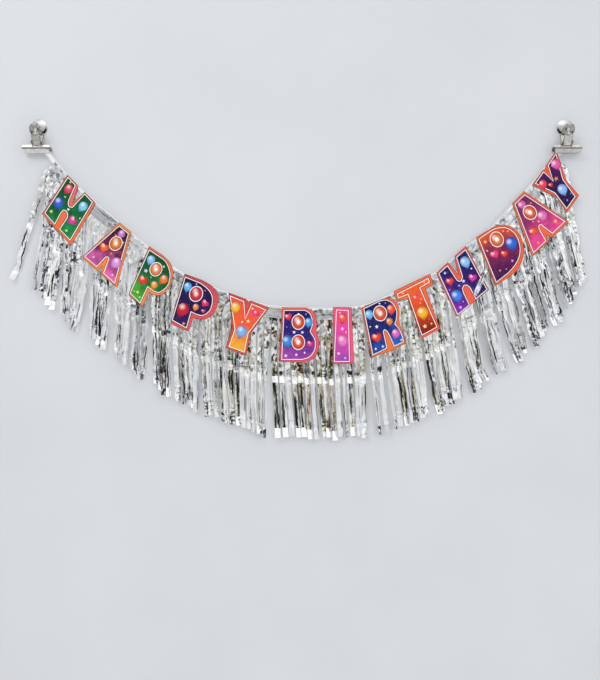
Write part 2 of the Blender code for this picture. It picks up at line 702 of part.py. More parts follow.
def build():
    clear_scene()
    header = Header()
    make_ribbon(header)
    make_header_band(header)
    for number, (start, count, pitch) in enumerate(fringe_layout(header), start=1):
        make_bunch(header, number, start, count, pitch)
    for row in LETTER_SHARES:
        make_card(header, row)
    card_front = film_front() + SEAT_GAP * 2 + PAD_THICKNESS + CARD_THICKNESS
    make_clip("left", -CLIP_SPACING / 2, RIBBON_DEPTH + RIBBON_THICKNESS)
    make_clip("right", CLIP_SPACING / 2, card_front)


build()
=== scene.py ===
"""A birthday letter banner on a wall: its finished pieces, finishes, light and camera."""
import math
import random

import bmesh
import bpy
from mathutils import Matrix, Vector, noise


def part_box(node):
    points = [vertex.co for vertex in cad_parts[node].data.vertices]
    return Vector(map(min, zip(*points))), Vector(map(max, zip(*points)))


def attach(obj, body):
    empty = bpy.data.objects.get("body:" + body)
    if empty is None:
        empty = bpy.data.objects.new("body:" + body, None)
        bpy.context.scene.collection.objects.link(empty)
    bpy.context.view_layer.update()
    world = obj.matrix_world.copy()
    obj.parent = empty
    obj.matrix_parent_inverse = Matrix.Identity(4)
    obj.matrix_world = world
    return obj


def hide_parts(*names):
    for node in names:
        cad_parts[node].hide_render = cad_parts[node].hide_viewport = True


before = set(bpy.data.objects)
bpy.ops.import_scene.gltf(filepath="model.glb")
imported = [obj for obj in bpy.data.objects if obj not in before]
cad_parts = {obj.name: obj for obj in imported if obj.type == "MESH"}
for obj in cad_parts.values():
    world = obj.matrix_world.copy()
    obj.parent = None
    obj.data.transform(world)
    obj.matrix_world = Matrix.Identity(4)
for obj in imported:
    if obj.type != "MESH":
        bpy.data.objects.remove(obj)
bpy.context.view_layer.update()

# The header line, as the model has it
CLIP_SPACING = 1.3255
LEFT_GRIP_INSET = 0.0315
RIGHT_GRIP_INSET = 0.0265
GRIP_DROP = 0.06375
HEADER_SAG = 0.390
TANGENT_REACH = 0.070
HEADER_SHAPE_SHARES = (
    (-1.0, 1.0), (-0.927, 0.849), (-0.815, 0.673), (-0.714, 0.532), (-0.608, 0.391),
    (-0.469, 0.221), (-0.292, 0.093), (-0.150, 0.022), (0.008, 0.0), (0.166, 0.003),
    (0.264, 0.029), (0.359, 0.096), (0.501, 0.205), (0.580, 0.298), (0.643, 0.391),
    (0.738, 0.510), (0.824, 0.660), (0.903, 0.798), (1.0, 1.0),
)
CURVE_STEPS = 12

# Ribbon and film
SEAT_GAP = 0.0003
RIBBON_DEPTH = 0.0130
RIBBON_THICKNESS = 0.0005
RIBBON_WIDTH = 0.013
RIBBON_PEEK = 0.003
RIBBON_TAIL = 0.015
FILM_THICKNESS = 0.0003
FILM_START = 0.030
FILM_END = 0.014
BAND_DROP = 0.030
BUNCH_STRIPS = (1, 9, 8, 7, 8, 8, 7, 8, 8, 7, 8, 8, 8, 9)
SLIT = 0.0004
ROOT_HEIGHT = 0.006
STRIP_LENGTH = 0.291
STRIP_LENGTH_SPREAD = 0.006
TURN_LENGTH = 0.075
END_TURN_LENGTH = 0.016
LEFT_FINAL_LEAN_SHARE = 0.08
RIGHT_FINAL_LEAN_SHARE = 0.16
STRAY_FINAL_LEAN_SHARE = 0.27
RANDOM_SEED = 11

# Letter cards
LETTER_HEIGHT = 0.130
# Each card's place as a share of the header line, its rise, width and height as shares of the
# letters' height, then the tilt of its top edge and the lean of its sides in degrees
LETTERS = (
    ("letter_01_h", 0.080, -0.002, 0.769, 0.923, 45.0, 31.5),
    ("letter_02_a", 0.174, 0.003, 0.878, 1.000, 39.0, 30.0),
    ("letter_03_p", 0.251, 0.043, 0.673, 1.038, 33.0, 23.0),
    ("letter_04_p", 0.328, 0.038, 0.769, 1.010, 20.0, 17.0),
    ("letter_05_y", 0.408, 0.001, 0.835, 1.027, 20.0, 14.0),
    ("letter_06_b", 0.492, -0.004, 0.721, 1.058, 1.0, 2.0),
    ("letter_07_i", 0.560, 0.001, 0.352, 1.086, 0.0, 0.0),
    ("letter_08_r", 0.620, -0.012, 0.731, 0.981, -22.5, -12.0),
    ("letter_09_t", 0.680, 0.044, 0.765, 1.046, -27.0, -21.0),
    ("letter_10_h", 0.755, 0.015, 0.769, 0.942, -42.5, -26.0),
    ("letter_11_d", 0.840, -0.025, 0.779, 0.991, -31.0, -23.0),
    ("letter_12_a", 0.903, 0.012, 0.973, 1.017, -45.5, -37.4),
    ("letter_13_y", 0.967, -0.001, 0.812, 0.894, -55.0, -38.0),
)

# Bulldog clips
PLATE_THICKNESS = 0.0009
REAR_EAR_RADIUS = 0.0205
FRONT_EAR_RADIUS = 0.0144
EAR_HOLE_RADIUS = 0.0033
FRONT_EAR_DROP = 0.0122
EAR_DISH = 0.0022
EAR_RIM = 0.0010
REAR_NECK_WIDTH = 0.0240
FRONT_NECK_WIDTH = 0.0215
NECK_FLARE = 0.0015
JAW_WIDTH = 0.0680
LIP_WIDTH = 0.0635
JAW_CORNER = 0.0012
EAR_BEND_DROP = 0.0200
NECK_TOP_DROP = 0.0370
NECK_FOOT_DROP = 0.0485
LEDGE_DROP = 0.0562
CREASE_DROP = 0.0578
PINCH_DROP = 0.0665
LIP_DROP = 0.0680
CLIP_MIDDLE = 0.0140
NECK_HALF_DEPTH = 0.0060
JAW_HALF_DEPTH = 0.0124
FRONT_EAR_RISE = 0.0190
PIN_DROP = 0.0420
PIN_BORE_RADIUS = 0.00175
LUG_HALF_HEIGHT = 0.0038
LUG_REACH = 0.0028
FOLD_ROUND = 0.0009
# Painted shade on the lugs, and the width of the painted shade line along the neck's sides and foot
LUG_PAINTED_SHADE = 0.35
NECK_SHADE_LINE_WIDTH = 0.0011
EAR_STEPS = 26
# Steps at which a plate's sheet is cut into small faces
UPPER_CUT_STEP = 0.0013
JAW_CUT_STEP = 0.0005
SIDE_CUT_STEP = 0.0015

# Print: the white line round each picture, in hundredths of the card's width and height. A run
# marked round is a smooth curve.
KEY_LINES = {
    "letter_01_h": (
        ("corners", ((4, 2), (33, 3), (38.5, 36))),
        ("round", ((41, 41), (47, 44.5), (54, 41))),
        ("corners", ((63, 2), (93, 3), (95, 96), (55, 95), (56.5, 66))),
        ("round", ((53, 60), (46, 57.5), (40, 60))),
        ("corners", ((38, 67), (40, 95), (1, 93)))),
    "letter_02_a": (
        ("corners", ((36, 5), (64, 5), (93, 99), (58, 97), (53.5, 73))),
        ("round", ((53, 69), (50, 67.5), (47, 69))),
        ("corners", ((45.5, 73), (40, 96), (3, 95)))),
    "letter_03_p": (
        ("corners", ((4, 5),)),
        ("round", ((41, 5), (60, 6), (76, 12), (91, 24), (96, 43), (82, 62), (64, 67))),
        ("corners", ((44, 66), (42, 100), (2, 94)))),
    "letter_04_p": (
        ("corners", ((3, 5),)),
        ("round", ((46, 6), (68, 12), (83, 22), (89, 37), (87, 52), (74, 64), (57, 66))),
        ("corners", ((44, 65), (45, 97), (3, 92)))),
    "letter_05_y": (
        ("corners", ((4, 4), (40, 5), (52, 34), (58, 4), (95, 6), (68, 59), (70, 96), (30, 96),
            (34, 61))),),
    "letter_06_b": (
        ("corners", ((6, 5),)),
        ("round", ((63, 4), (77, 10), (85, 23), (85, 32), (80, 43))),
        ("round", ((82, 45.5), (92, 56), (95, 66), (92, 79), (80, 90), (61, 95))),
        ("corners", ((4, 96),))),
    "letter_07_i": (
        ("corners", ((15, 4), (85, 5), (92, 97), (3, 97))),),
    "letter_08_r": (
        ("corners", ((5, 3),)),
        ("round", ((52, 1), (69, 4), (83, 13), (91, 26), (91, 39), (85, 51))),
        ("round", ((80, 56), (88, 67), (92, 81), (93, 96))),
        ("corners", ((64, 97), (58, 75))),
        ("round", ((54, 64), (49, 59.5), (45.5, 62))),
        ("corners", ((46, 80), (46, 95), (3, 97)))),
    "letter_09_t": (
        ("corners", ((5, 7), (94, 7), (94, 16), (66, 17), (71, 96), (26, 97), (30, 18), (4, 16))),),
    "letter_10_h": (
        ("corners", ((4, 4), (35, 4), (41, 41))),
        ("round", ((44, 45.5), (49, 47), (56, 43))),
        ("corners", ((64, 4), (96, 5), (101, 100), (62, 99), (61, 72))),
        ("round", ((57, 64), (50, 61), (43.5, 64))),
        ("corners", ((42, 72), (42, 99), (1, 97)))),
    "letter_11_d": (
        ("corners", ((5, 5),)),
        ("round", ((44, 3), (59, 5), (79, 13), (93, 28), (97, 45), (93, 63), (82, 77), (64, 87),
            (42, 93))),
        ("corners", ((3, 97),))),
    "letter_12_a": (
        ("corners", ((36, 4), (64, 5), (96, 97), (60, 96), (53.5, 73))),
        ("round", ((53, 69), (50, 67.5), (47, 69))),
        ("corners", ((45.5, 73), (42, 97), (6, 96)))),
    "letter_13_y": (
        ("corners", ((7, 3), (43, 3), (47, 32), (60, 3), (95, 3), (69, 50), (67, 95), (30, 95),
            (31, 52))),),
}
# Colours of each card: border at its top left and lower right, then the picture's ground
# from one place to another
CARD_PAINTS = {
    "letter_01_h": ("#dd6a72", "#f06c34", ((0.1, 0.1), (0.9, 1.0)), ("#08492a", "#0d5a35", "#1f9150")),
    "letter_02_a": ("#ef8a3c", "#f08438", ((0.5, 0.1), (0.5, 1.0)), ("#371428", "#642247", "#e069b0")),
    "letter_03_p": ("#e2604e", "#f28c4a", ((0.5, 0.1), (0.3, 1.0)), ("#0a4a2c", "#0f5f34", "#4fae3e")),
    "letter_04_p": ("#b9404f", "#e8505c", ((0.1, 0.1), (0.6, 1.0)), ("#1d1648", "#22164f", "#35205f")),
    "letter_05_y": ("#c9453f", "#dc5a44", ((0.5, 0.1), (0.5, 1.0)), ("#ee4f4a", "#f2602c", "#f0ac34")),
    "letter_06_b": ("#ee6154", "#ec5070", ((0.5, 0.1), (0.5, 1.0)), ("#191660", "#2c2276", "#a248ac")),
    "letter_07_i": ("#ea5a7e", "#f0567e", ((0.5, 0.1), (0.5, 1.0)), ("#ee3f8e", "#e94aa2", "#9a4cb0")),
    "letter_08_r": ("#e8603e", "#f27436", ((0.2, 0.2), (0.9, 1.0)), ("#1a1a5c", "#1f2670", "#2f66cc")),
    "letter_09_t": ("#ee6a46", "#f0623a", ((0.5, 0.0), (0.5, 1.0)), ("#ee6a30", "#e8502a", "#8f1d18")),
    "letter_10_h": ("#ec5a48", "#ee5f48", ((0.9, 0.1), (0.1, 1.0)), ("#221a5e", "#2a1c66", "#7d2fa8")),
    "letter_11_d": ("#ee5a34", "#f0603c", ((0.4, 0.0), (0.5, 1.0)), ("#d9532a", "#7c2650", "#3f1450")),
    "letter_12_a": ("#ee6a3e", "#f0683e", ((0.5, 0.1), (0.6, 1.0)), ("#662458", "#96306e", "#ee4c92")),
    "letter_13_y": ("#ee5238", "#f05c40", ((0.9, 0.1), (0.4, 1.0)), ("#5a1c66", "#35154f", "#1f1644")),
}
# Round buttons printed in the letters' eyes: place, half width, then ring and centre colours
BUTTONS = {
    "letter_02_a": ((0.50, 0.364, 0.0155, "#ef8436", "#fff2dc"),),
    "letter_03_p": ((0.45, 0.294, 0.0150, "#f09058", "#fff4e4"),),
    "letter_04_p": ((0.422, 0.289, 0.0165, "#d83a4c", "#f8c8c4"),),
    "letter_06_b": ((0.462, 0.264, 0.0160, "#ee5a38", "#fff0e6"),
                    (0.480, 0.631, 0.0160, "#ee5a38", "#fff0e6")),
    "letter_08_r": ((0.463, 0.249, 0.0165, "#f0643c", "#ffeee2"),),
    "letter_11_d": ((0.469, 0.244, 0.0165, "#f07a3a", "#fff6ee"),),
    "letter_12_a": ((0.502, 0.364, 0.0160, "#ee6a34", "#fff2ea"),),
}
# Party motifs on each picture: kind, place in hundredths of the card's width and height, half
# height in millimetres, turn in degrees, colour
MOTIFS = {
    "letter_01_h": (
        ("balloon", 22, 20, 10.5, 12, "#e24a62"), ("balloon", 19, 56, 12.5, -6, "#3a62c8"),
        ("balloon", 77, 25, 11, 8, "#7fcbe9"), ("heart", 72, 62, 10.5, 30, "#dd3f98"),
        ("star", 14, 80, 4.5, 10, "#e3dd62"), ("star", 73, 86, 4, 40, "#cfe36a"),
        ("star", 49, 51, 3.5, 0, "#fdfdf4"), ("star", 25, 37, 2.6, 20, "#e6e07a"),
        ("star", 17, 7, 2.8, 0, "#e6e07a"), ("dot", 86, 47, 1.3, 0, "#f4f4e2")),
    "letter_02_a": (
        ("balloon", 50, 15.5, 9, 14, "#c07fce"), ("heart", 32, 57, 11, -4, "#ef6a2c"),
        ("balloon", 72, 66, 12.5, 16, "#dc94da"), ("star", 22, 84, 3.6, 0, "#f9b9e4"),
        ("dot", 41, 24, 1.8, 0, "#f7a06a"), ("star", 63, 26, 2.6, 0, "#f7c8a0"),
        ("dot", 52, 57, 2.2, 0, "#f07a50"), ("star", 78, 88, 3, 0, "#fbd2ec")),
    "letter_03_p": (
        ("balloon", 21, 20, 10, 4, "#86c6ef"), ("balloon", 77, 38, 10.5, 18, "#f07a34"),
        ("heart", 22, 60, 11, 8, "#e53b2e"), ("balloon", 58, 56, 8.5, 6, "#f29a44"),
        ("star", 20, 42, 5, 0, "#dcd4f6"), ("star", 63, 17, 3.4, 0, "#f3d976"),
        ("star", 22, 84, 4.5, 20, "#d8ea62"), ("dot", 33, 90, 1.6, 0, "#e6f07a"),
        ("dot", 12, 86, 1.4, 0, "#d8ea62"), ("star", 41, 47, 2.6, 0, "#8fd28a")),
    "letter_04_p": (
        ("balloon", 17, 22, 10, 2, "#62b6ee"), ("balloon", 22, 66, 15, 12, "#c9283a"),
        ("balloon", 51, 53, 7.5, 2, "#e8893a"), ("heart", 70, 40, 8.5, 24, "#e2386a"),
        ("heart", 72, 55, 5, -16, "#e2386a"), ("star", 34, 90, 4, 0, "#e9a56a"),
        ("dot", 36, 11, 1.6, 0, "#b9b2e6"), ("dot", 61, 17, 1.5, 0, "#e26a8c")),
    "letter_05_y": (
        ("balloon", 24, 22, 12, 0, "#f7bb3c"), ("balloon", 51, 61, 13, 6, "#7eb4f2"),
        ("heart", 72, 20, 7.5, 26, "#f23d92"), ("star", 60, 38, 4.5, 0, "#ffd9b2"),
        ("star", 47, 43, 3, 0, "#ffe9d2"), ("dot", 39, 80, 1.8, 0, "#ffb07a"),
        ("dot", 62, 82, 1.8, 0, "#ffa08a"), ("star", 63, 13, 3, 0, "#ffd2e6")),
    "letter_06_b": (
        ("heart", 19, 17, 8.5, -22, "#e33c58"), ("balloon", 74, 27, 10, 4, "#4f9fe6"),
        ("balloon", 19, 62, 12.5, -6, "#3b8bdc"), ("heart", 79, 66, 7.5, 14, "#e8407c"),
        ("star", 36, 45, 4, 0, "#f6f2ff"), ("star", 58, 45, 4, 20, "#dfe0ff"),
        ("star", 46, 12, 2.8, 0, "#ffffff"), ("star", 16, 88, 4.2, 0, "#f2d8ff"),
        ("star", 44, 86, 3.6, 10, "#ffe9ff"), ("star", 66, 82, 2.8, 0, "#ffe9ff"),
        ("dot", 16, 36, 1.3, 0, "#8f8ce6"), ("dot", 66, 12, 1.3, 0, "#b0b0f0")),
    "letter_07_i": (
        ("balloon", 52, 20, 10, 6, "#f25f3c"), ("balloon", 52, 60, 13, 4, "#f27fc6"),
        ("star", 50, 38.5, 4.2, 0, "#ffd9f2"), ("star", 30, 82, 3.6, 0, "#fbe3ff"),
        ("star", 66, 90, 3, 10, "#f0c8ff"), ("dot", 36, 10, 1.6, 0, "#ffd2b8"),
        ("dot", 70, 44, 1.4, 0, "#ffe0f4")),
    "letter_08_r": (
        ("balloon", 17, 19, 10, 0, "#79bdf2"), ("balloon", 77, 26, 10.5, 10, "#f1563a"),
        ("balloon", 66, 47, 8, 6, "#f08c32"), ("heart", 24, 67, 11.5, 0, "#e7402e"),
        ("balloon", 76, 74, 10, 14, "#e26cc0"), ("star", 30, 47, 4.4, 0, "#fff6e0"),
        ("star", 15, 87, 3.4, 0, "#dfe8ff"), ("star", 35, 88, 3.8, 0, "#c8dcff"),
        ("dot", 13, 42, 1.5, 0, "#f4e6b2"), ("star", 50, 6.5, 2.6, 0, "#e6e6ff"),
        ("dot", 66, 10, 1.3, 0, "#9aa2f0"), ("star", 87, 90, 3, 0, "#bfe0ff")),
    "letter_09_t": (
        ("balloon", 49, 60, 13.5, 12, "#f8b62c"), ("heart", 47, 29, 6.5, -10, "#f4567e"),
        ("star", 42, 84, 5, 8, "#ffe6b0"), ("dot", 60, 85, 2.2, 0, "#f7c24a"),
        ("dot", 58, 36, 1.6, 0, "#ffab8a"), ("star", 20, 11.5, 2.4, 0, "#ffc890"),
        ("star", 80, 11.5, 2.4, 0, "#ffb89a"), ("dot", 52, 42, 1.4, 0, "#ffb098")),
    "letter_10_h": (
        ("balloon", 80, 25, 12, 0, "#8bc3f3"), ("heart", 22, 33, 9, 6, "#ea4238"),
        ("balloon", 22, 66, 13, 2, "#3a88e4"), ("heart", 79, 60, 9.5, 30, "#dd389c"),
        ("star", 20, 13, 3.6, 0, "#d8d0ff"), ("star", 54, 52, 4.4, 10, "#dfe6ff"),
        ("star", 17, 89, 4.2, 0, "#f0a2ff"), ("dot", 87, 44, 1.6, 0, "#ffffff"),
        ("star", 39, 53, 2.8, 0, "#9fc4ff"), ("dot", 30, 84, 1.4, 0, "#e69aff"),
        ("dot", 12, 46, 1.3, 0, "#a8b0ff")),
    "letter_11_d": (
        ("balloon", 77, 46, 14, 4, "#2f6cd9"), ("heart", 28, 47, 10.5, -14, "#f23f7a"),
        ("heart", 50, 56, 8, 16, "#ee4636"), ("dot", 18, 17, 3.2, 0, "#f2ab62"),
        ("star", 62, 76, 3.4, 0, "#d9a8dc"), ("star", 14, 34, 3, 0, "#f7b8a8"),
        ("star", 24, 80, 3.4, 0, "#f08a5a"), ("dot", 80, 22, 1.8, 0, "#ffb26a"),
        ("dot", 40, 84, 1.5, 0, "#c78ad0"), ("star", 70, 17, 2.4, 0, "#ffcf9a")),
    "letter_12_a": (
        ("balloon", 47, 15.5, 10, -6, "#e068b4"), ("balloon", 66, 58, 12, 8, "#e779b8"),
        ("heart", 33, 66, 10, -8, "#f05a28"), ("star", 80, 83, 5, 10, "#f5b440"),
        ("dot", 27, 88, 2.2, 0, "#f9a04a"), ("dot", 63, 25, 1.6, 0, "#f7a07a"),
        ("dot", 44, 53, 1.6, 0, "#f79a6a"), ("star", 53, 60, 2.8, 0, "#f7c0a0")),
    "letter_13_y": (
        ("balloon", 78, 17, 12, 12, "#e75fa6"), ("balloon", 22, 19, 10, 20, "#ea4560"),
        ("balloon", 52, 62, 12, 14, "#8cbaf2"), ("star", 56, 36, 5.5, 8, "#d99b3c"),
        ("heart", 36, 34, 5.5, 10, "#e2452f"), ("star", 45, 84, 2.8, 0, "#b08ae6"),
        ("dot", 62, 82, 1.4, 0, "#9a86e0"), ("dot", 67, 12, 1.4, 0, "#f2a8d8")),
}
MOTIF_SIZE = 1.22
# Half widths of a button's white rim, ring and centre as shares of its size, and its width as
# a share of its height
BUTTON_RINGS = (1.22, 1.08, 0.46)
BUTTON_SQUEEZE = 0.86
PRINT_CURVE_STEPS = 4
LINE_WHITE = "#f6ece4"
LINE_DARK = "#3c1016"
LINE_WIDTH = 0.0021
DARK_LINE_WIDTH = 0.0013
PRINT_GLOSS = 0.12
EDGE_LINE_WIDTH = 0.0011
EDGE_LINE_TONE = 0.34
# Place in a motif's shading that leaves the ink's tint as it is
PLAIN_INK = (0.62, 0.42)
# Height of one layer of ink over the next, so that no two lie in one plane
INK_STEP = 0.00004
# The card whose corner the right clip holds, which stays with the banner
CLIPPED_CARD = "letter_13_y"


def paint(code):
    """A linear colour with full alpha from a screen colour such as #f06c34."""
    channels = [int(code[at:at + 2], 16) / 255 for at in (1, 3, 5)]
    return tuple(
        c / 12.92 if c <= 0.04045 else ((c + 0.055) / 1.055) ** 2.4 for c in channels) + (1.0,)


def ease(share):
    share = min(max(share, 0.0), 1.0)
    return share * share * (3 - 2 * share)


def smooth_curve(points, steps):
    """Points on a Catmull-Rom curve through the given ones."""
    run = [points[0] * 2 - points[1], *points, points[-1] * 2 - points[-2]]
    curve = []
    for a, b, c, d in zip(run, run[1:], run[2:], run[3:]):
        for step in range(steps):
            t = step / steps
            curve.append(0.5 * (
                b * 2 + (c - a) * t + (a * 2 - b * 5 + c * 4 - d) * t ** 2
                + (b * 3 - a - c * 3 + d) * t ** 3))
    curve.append(points[-1].copy())
    return curve


def closed(points):
    """Pairs of each point and the next one, and of the last one and the first."""
    return list(zip(points, points[1:] + points[:1]))


def turns(last, steps):
    """Sines and cosines at even steps from no turn to the last one."""
    return [(math.sin(last * step / steps), math.cos(last * step / steps))
            for step in range(steps + 1)]


def wave(*place):
    """Smooth random height, between -1 and 1, at a place."""
    return noise.noise(Vector(place))


class Header:
    """The line of the ribbon's top edge in the plane of the wall, read by its length."""

    def __init__(self):
        left = -CLIP_SPACING / 2 + LEFT_GRIP_INSET
        right = CLIP_SPACING / 2 - RIGHT_GRIP_INSET
        middle, half_span = (left + right) / 2, (right - left) / 2
        lowest = -GRIP_DROP - HEADER_SAG
        self.points = smooth_curve(
            [Vector((middle + x * half_span, lowest + up * HEADER_SAG))
             for x, up in HEADER_SHAPE_SHARES], CURVE_STEPS)
        self.places = [0.0]
        for a, b in zip(self.points, self.points[1:]):
            self.places.append(self.places[-1] + (b - a).length)
        self.length = self.places[-1]

    def point(self, place):
        last = len(self.places) - 2
        index = 0
        while index < last and self.places[index + 1] < place:
            index += 1
        a, b = self.points[index], self.points[index + 1]
        return a + (b - a) * ((place - self.places[index])
                              / (self.places[index + 1] - self.places[index]))

    def along(self, place):
        return (self.point(place + TANGENT_REACH / 2)
                - self.point(place - TANGENT_REACH / 2)).normalized()

    def below(self, place, drop):
        along = self.along(place)
        return self.point(place) + Vector((along.y, -along.x)) * drop

    def slope(self, place):
        along = self.along(place)
        return math.atan2(-along.y, along.x)


header = Header()


def in_front(point, depth):
    return Vector((point.x, -depth, point.y))


def film_depth():
    return RIBBON_DEPTH + RIBBON_THICKNESS + SEAT_GAP + FILM_THICKNESS / 2


def add_object(name, data):
    made = bpy.data.objects.new(name, data)
    bpy.context.scene.collection.objects.link(made)
    return made


def finish_piece(name, mesh, materials, body, replaced=(), smooth_angle=None, wall=None,
                 edge=None):
    """Turn a bmesh into a named piece that rides on a body."""
    data = bpy.data.meshes.new(name)
    mesh.to_mesh(data)
    mesh.free()
    for material in materials:
        data.materials.append(material)
    if smooth_angle is not None:
        data.shade_smooth()
        data.set_sharp_from_angle(angle=math.radians(smooth_angle))
    piece = add_object(name, data)
    if wall is not None:
        thickness = piece.modifiers.new("wall", "SOLIDIFY")
        thickness.thickness = wall
        thickness.offset = 0.0
    if edge is not None:
        rounding = piece.modifiers.new("edge", "BEVEL")
        rounding.width = edge
        rounding.segments = 2
        rounding.limit_method = "ANGLE"
        rounding.angle_limit = math.radians(55)
    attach(piece, body)
    if replaced:
        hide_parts(*replaced)
    return piece


# Finishes


class Finish:
    """A node tree, with short calls for the nodes that these finishes use."""

    def __init__(self, name=None, group=None, tree=None):
        if tree is not None:
            self.tree = tree
        elif group is None:
            self.material = bpy.data.materials.new(name)
            self.material.use_nodes = True
            self.tree = self.material.node_tree
            self.shader = self.tree.nodes["Principled BSDF"]
        else:
            self.tree = bpy.data.node_groups.new(name, "ShaderNodeTree")
            self.group_in = self.tree.nodes.new("NodeGroupInput")
            self.group_out = self.tree.nodes.new("NodeGroupOutput")
            for side, kind, label, value in group:
                socket = self.tree.interface.new_socket(
                    label, in_out=side, socket_type="NodeSocket" + kind)
                if value is not None:
                    socket.default_value = value

    def node(self, kind, inputs=(), **settings):
        node = self.tree.nodes.new("ShaderNode" + kind)
        for key, value in settings.items():
            setattr(node, key, value)
        for key, value in dict(inputs).items():
            self.feed(node.inputs[key], value)
        return node

    def feed(self, socket, value):
        """Link a socket, or set it to a value or to a screen colour's code."""
        if isinstance(value, bpy.types.NodeSocket):
            self.tree.links.new(value, socket)
        else:
            socket.default_value = paint(value) if isinstance(value, str) else value

    def math(self, operation, a, b=0.0):
        return self.node("Math", {0: a, 1: b}, operation=operation).outputs[0]

    def times(self, a, b):
        return self.math("MULTIPLY", a, b)

    def plus(self, a, b):
        return self.math("ADD", a, b)

    def stretched(self, place, *shares):
        return self.vector("MULTIPLY", place, shares)

    def vector(self, operation, a, b=(0, 0, 0), scale=None):
        inputs = {0: a, 1: b}
        if scale is not None:
            inputs["Scale"] = scale
        node = self.node("VectorMath", inputs, operation=operation)
        return node.outputs["Value" if operation in ("DOT_PRODUCT", "DISTANCE") else "Vector"]

    def mix(self, share, a, b, blend="MIX"):
        node = self.node("Mix", {0: share, 6: a, 7: b}, data_type="RGBA", blend_type=blend)
        return node.outputs[2]

    def ramp(self, value, stops, interpolation="LINEAR"):
        node = self.node("ValToRGB", {0: value})
        node.color_ramp.interpolation = interpolation
        elements = node.color_ramp.elements
        while len(elements) < len(stops):
            elements.new(1.0)
        for element, (place, colour) in zip(elements, stops):
            element.position = place
            element.color = (paint(colour) if isinstance(colour, str)
                             else colour if isinstance(colour, tuple) else (colour,) * 3 + (1,))
        return node.outputs[0]

    def range(self, value, low, high, to_low=0.0, to_high=1.0):
        return self.node("MapRange", {0: value, 1: low, 2: high, 3: to_low, 4: to_high}).outputs[0]

    def noise(self, place, scale, detail=2.0, rough=0.5, out="Fac"):
        return self.node("TexNoise", {"Vector": place, "Scale": scale, "Detail": detail,
                                      "Roughness": rough}).outputs[out]

    def cells(self, place, scale, out="Color"):
        return self.node("TexVoronoi", {"Vector": place, "Scale": scale}).outputs[out]

    def object_place(self):
        return self.node("TexCoord").outputs["Object"]

    def uv(self, name):
        return self.node("UVMap", uv_map=name).outputs["UV"]

    def attribute(self, name, out="Fac"):
        return self.node("Attribute", attribute_name=name).outputs[out]

    def use(self, group, **inputs):
        node = self.tree.nodes.new("ShaderNodeGroup")
        node.node_tree = group
        for label, value in inputs.items():
            self.feed(node.inputs[label], value)
        return node.outputs

    def bump(self, height, strength, distance, normal=None):
        inputs = {"Height": height, "Strength": strength, "Distance": distance}
        if normal is not None:
            inputs["Normal"] = normal
        return self.node("Bump", inputs).outputs[0]

    def set(self, **inputs):
        for label, value in inputs.items():
            self.feed(self.shader.inputs[label.replace("_", " ")], value)
        return self.material


def crinkle_group():
    """Long slivers, crumpled facets and fold ladders: a painted reflection tone, a tint share and a
    tipped normal.
    """
    kit = Finish("film_crinkle", (
        ("INPUT", "Vector", "Place", None), ("INPUT", "Float", "Sliver", 1.0),
        ("INPUT", "Float", "Crinkle", 1.0), ("INPUT", "Float", "Hatch", 0.0),
        ("OUTPUT", "Float", "Tone", None), ("OUTPUT", "Float", "Tint", None),
        ("OUTPUT", "Vector", "Normal", None)))
    place, sliver, crinkle, hatch = (
        kit.group_in.outputs[name] for name in ("Place", "Sliver", "Crinkle", "Hatch"))
    bent = kit.vector("ADD", place, kit.vector(
        "SCALE", kit.noise(place, 60.0, 1.0, out="Color"), scale=0.005))
    centre = (0.5, 0.5, 0.5)

    def facets(across, along, tip):
        colour = kit.cells(kit.stretched(bent, across, along, 1.0), 1.0)
        tipped = kit.vector("SCALE", kit.vector("SUBTRACT", colour, centre), scale=tip)
        return kit.node("SeparateXYZ", {0: colour}).outputs, tipped

    long, long_tip = facets(250.0, 15.0, kit.times(sliver, 0.20))
    small, small_tip = facets(150.0, 125.0, kit.times(crinkle, 0.50))
    cross, cross_tip = facets(45.0, 240.0, kit.times(hatch, 0.70))
    tips = kit.vector("ADD", long_tip, kit.vector("ADD", small_tip, cross_tip))
    geometry = kit.node("NewGeometry").outputs["Normal"]
    normal = kit.vector("NORMALIZE", kit.vector("ADD", geometry, tips))
    # dark slivers, crinkle facets and fold ladders are painted into the tone as reflections
    steps = kit.ramp(long[0], ((0.0, 0.0), (0.13, 0.45), (0.26, 0.80), (0.80, 1.0)), "CONSTANT")
    tone = kit.times(kit.math("SUBTRACT", steps, 0.80), kit.times(sliver, 1.1))
    for part, middle, amount, strength in (
            (small[0], 0.5, crinkle, 1.55), (cross[0], 0.55, hatch, 1.25)):
        tone = kit.plus(tone, kit.times(
            kit.math("SUBTRACT", part, middle), kit.times(amount, strength)))
    streaks = kit.noise(kit.stretched(place, 260.0, 7.0, 1.0), 1.0, 2.0, 0.6)
    tone = kit.plus(tone, kit.range(streaks, 0.25, 0.75, -0.05, 0.05))
    kit.feed(kit.group_out.inputs["Tone"], tone)
    kit.feed(kit.group_out.inputs["Tint"], long[1])
    kit.feed(kit.group_out.inputs["Normal"], normal)
    return kit.tree


def wear_group():
    """Fine scratches and a soft cloudiness for plated metal."""
    kit = Finish("plate_wear", (
        ("INPUT", "Vector", "Place", None),
        ("OUTPUT", "Float", "Scratches", None), ("OUTPUT", "Float", "Cloud", None)))
    place = kit.group_in.outputs["Place"]
    lines = kit.noise(kit.stretched(place, 2600.0, 160.0, 380.0), 1.0, 3.0, 0.7)
    cloud = kit.noise(place, 140.0, 3.0, 0.6)
    kit.feed(kit.group_out.inputs["Scratches"], lines)
    kit.feed(kit.group_out.inputs["Cloud"], cloud)
    return kit.tree


FILM_CRINKLE = crinkle_group()
PLATE_WEAR = wear_group()
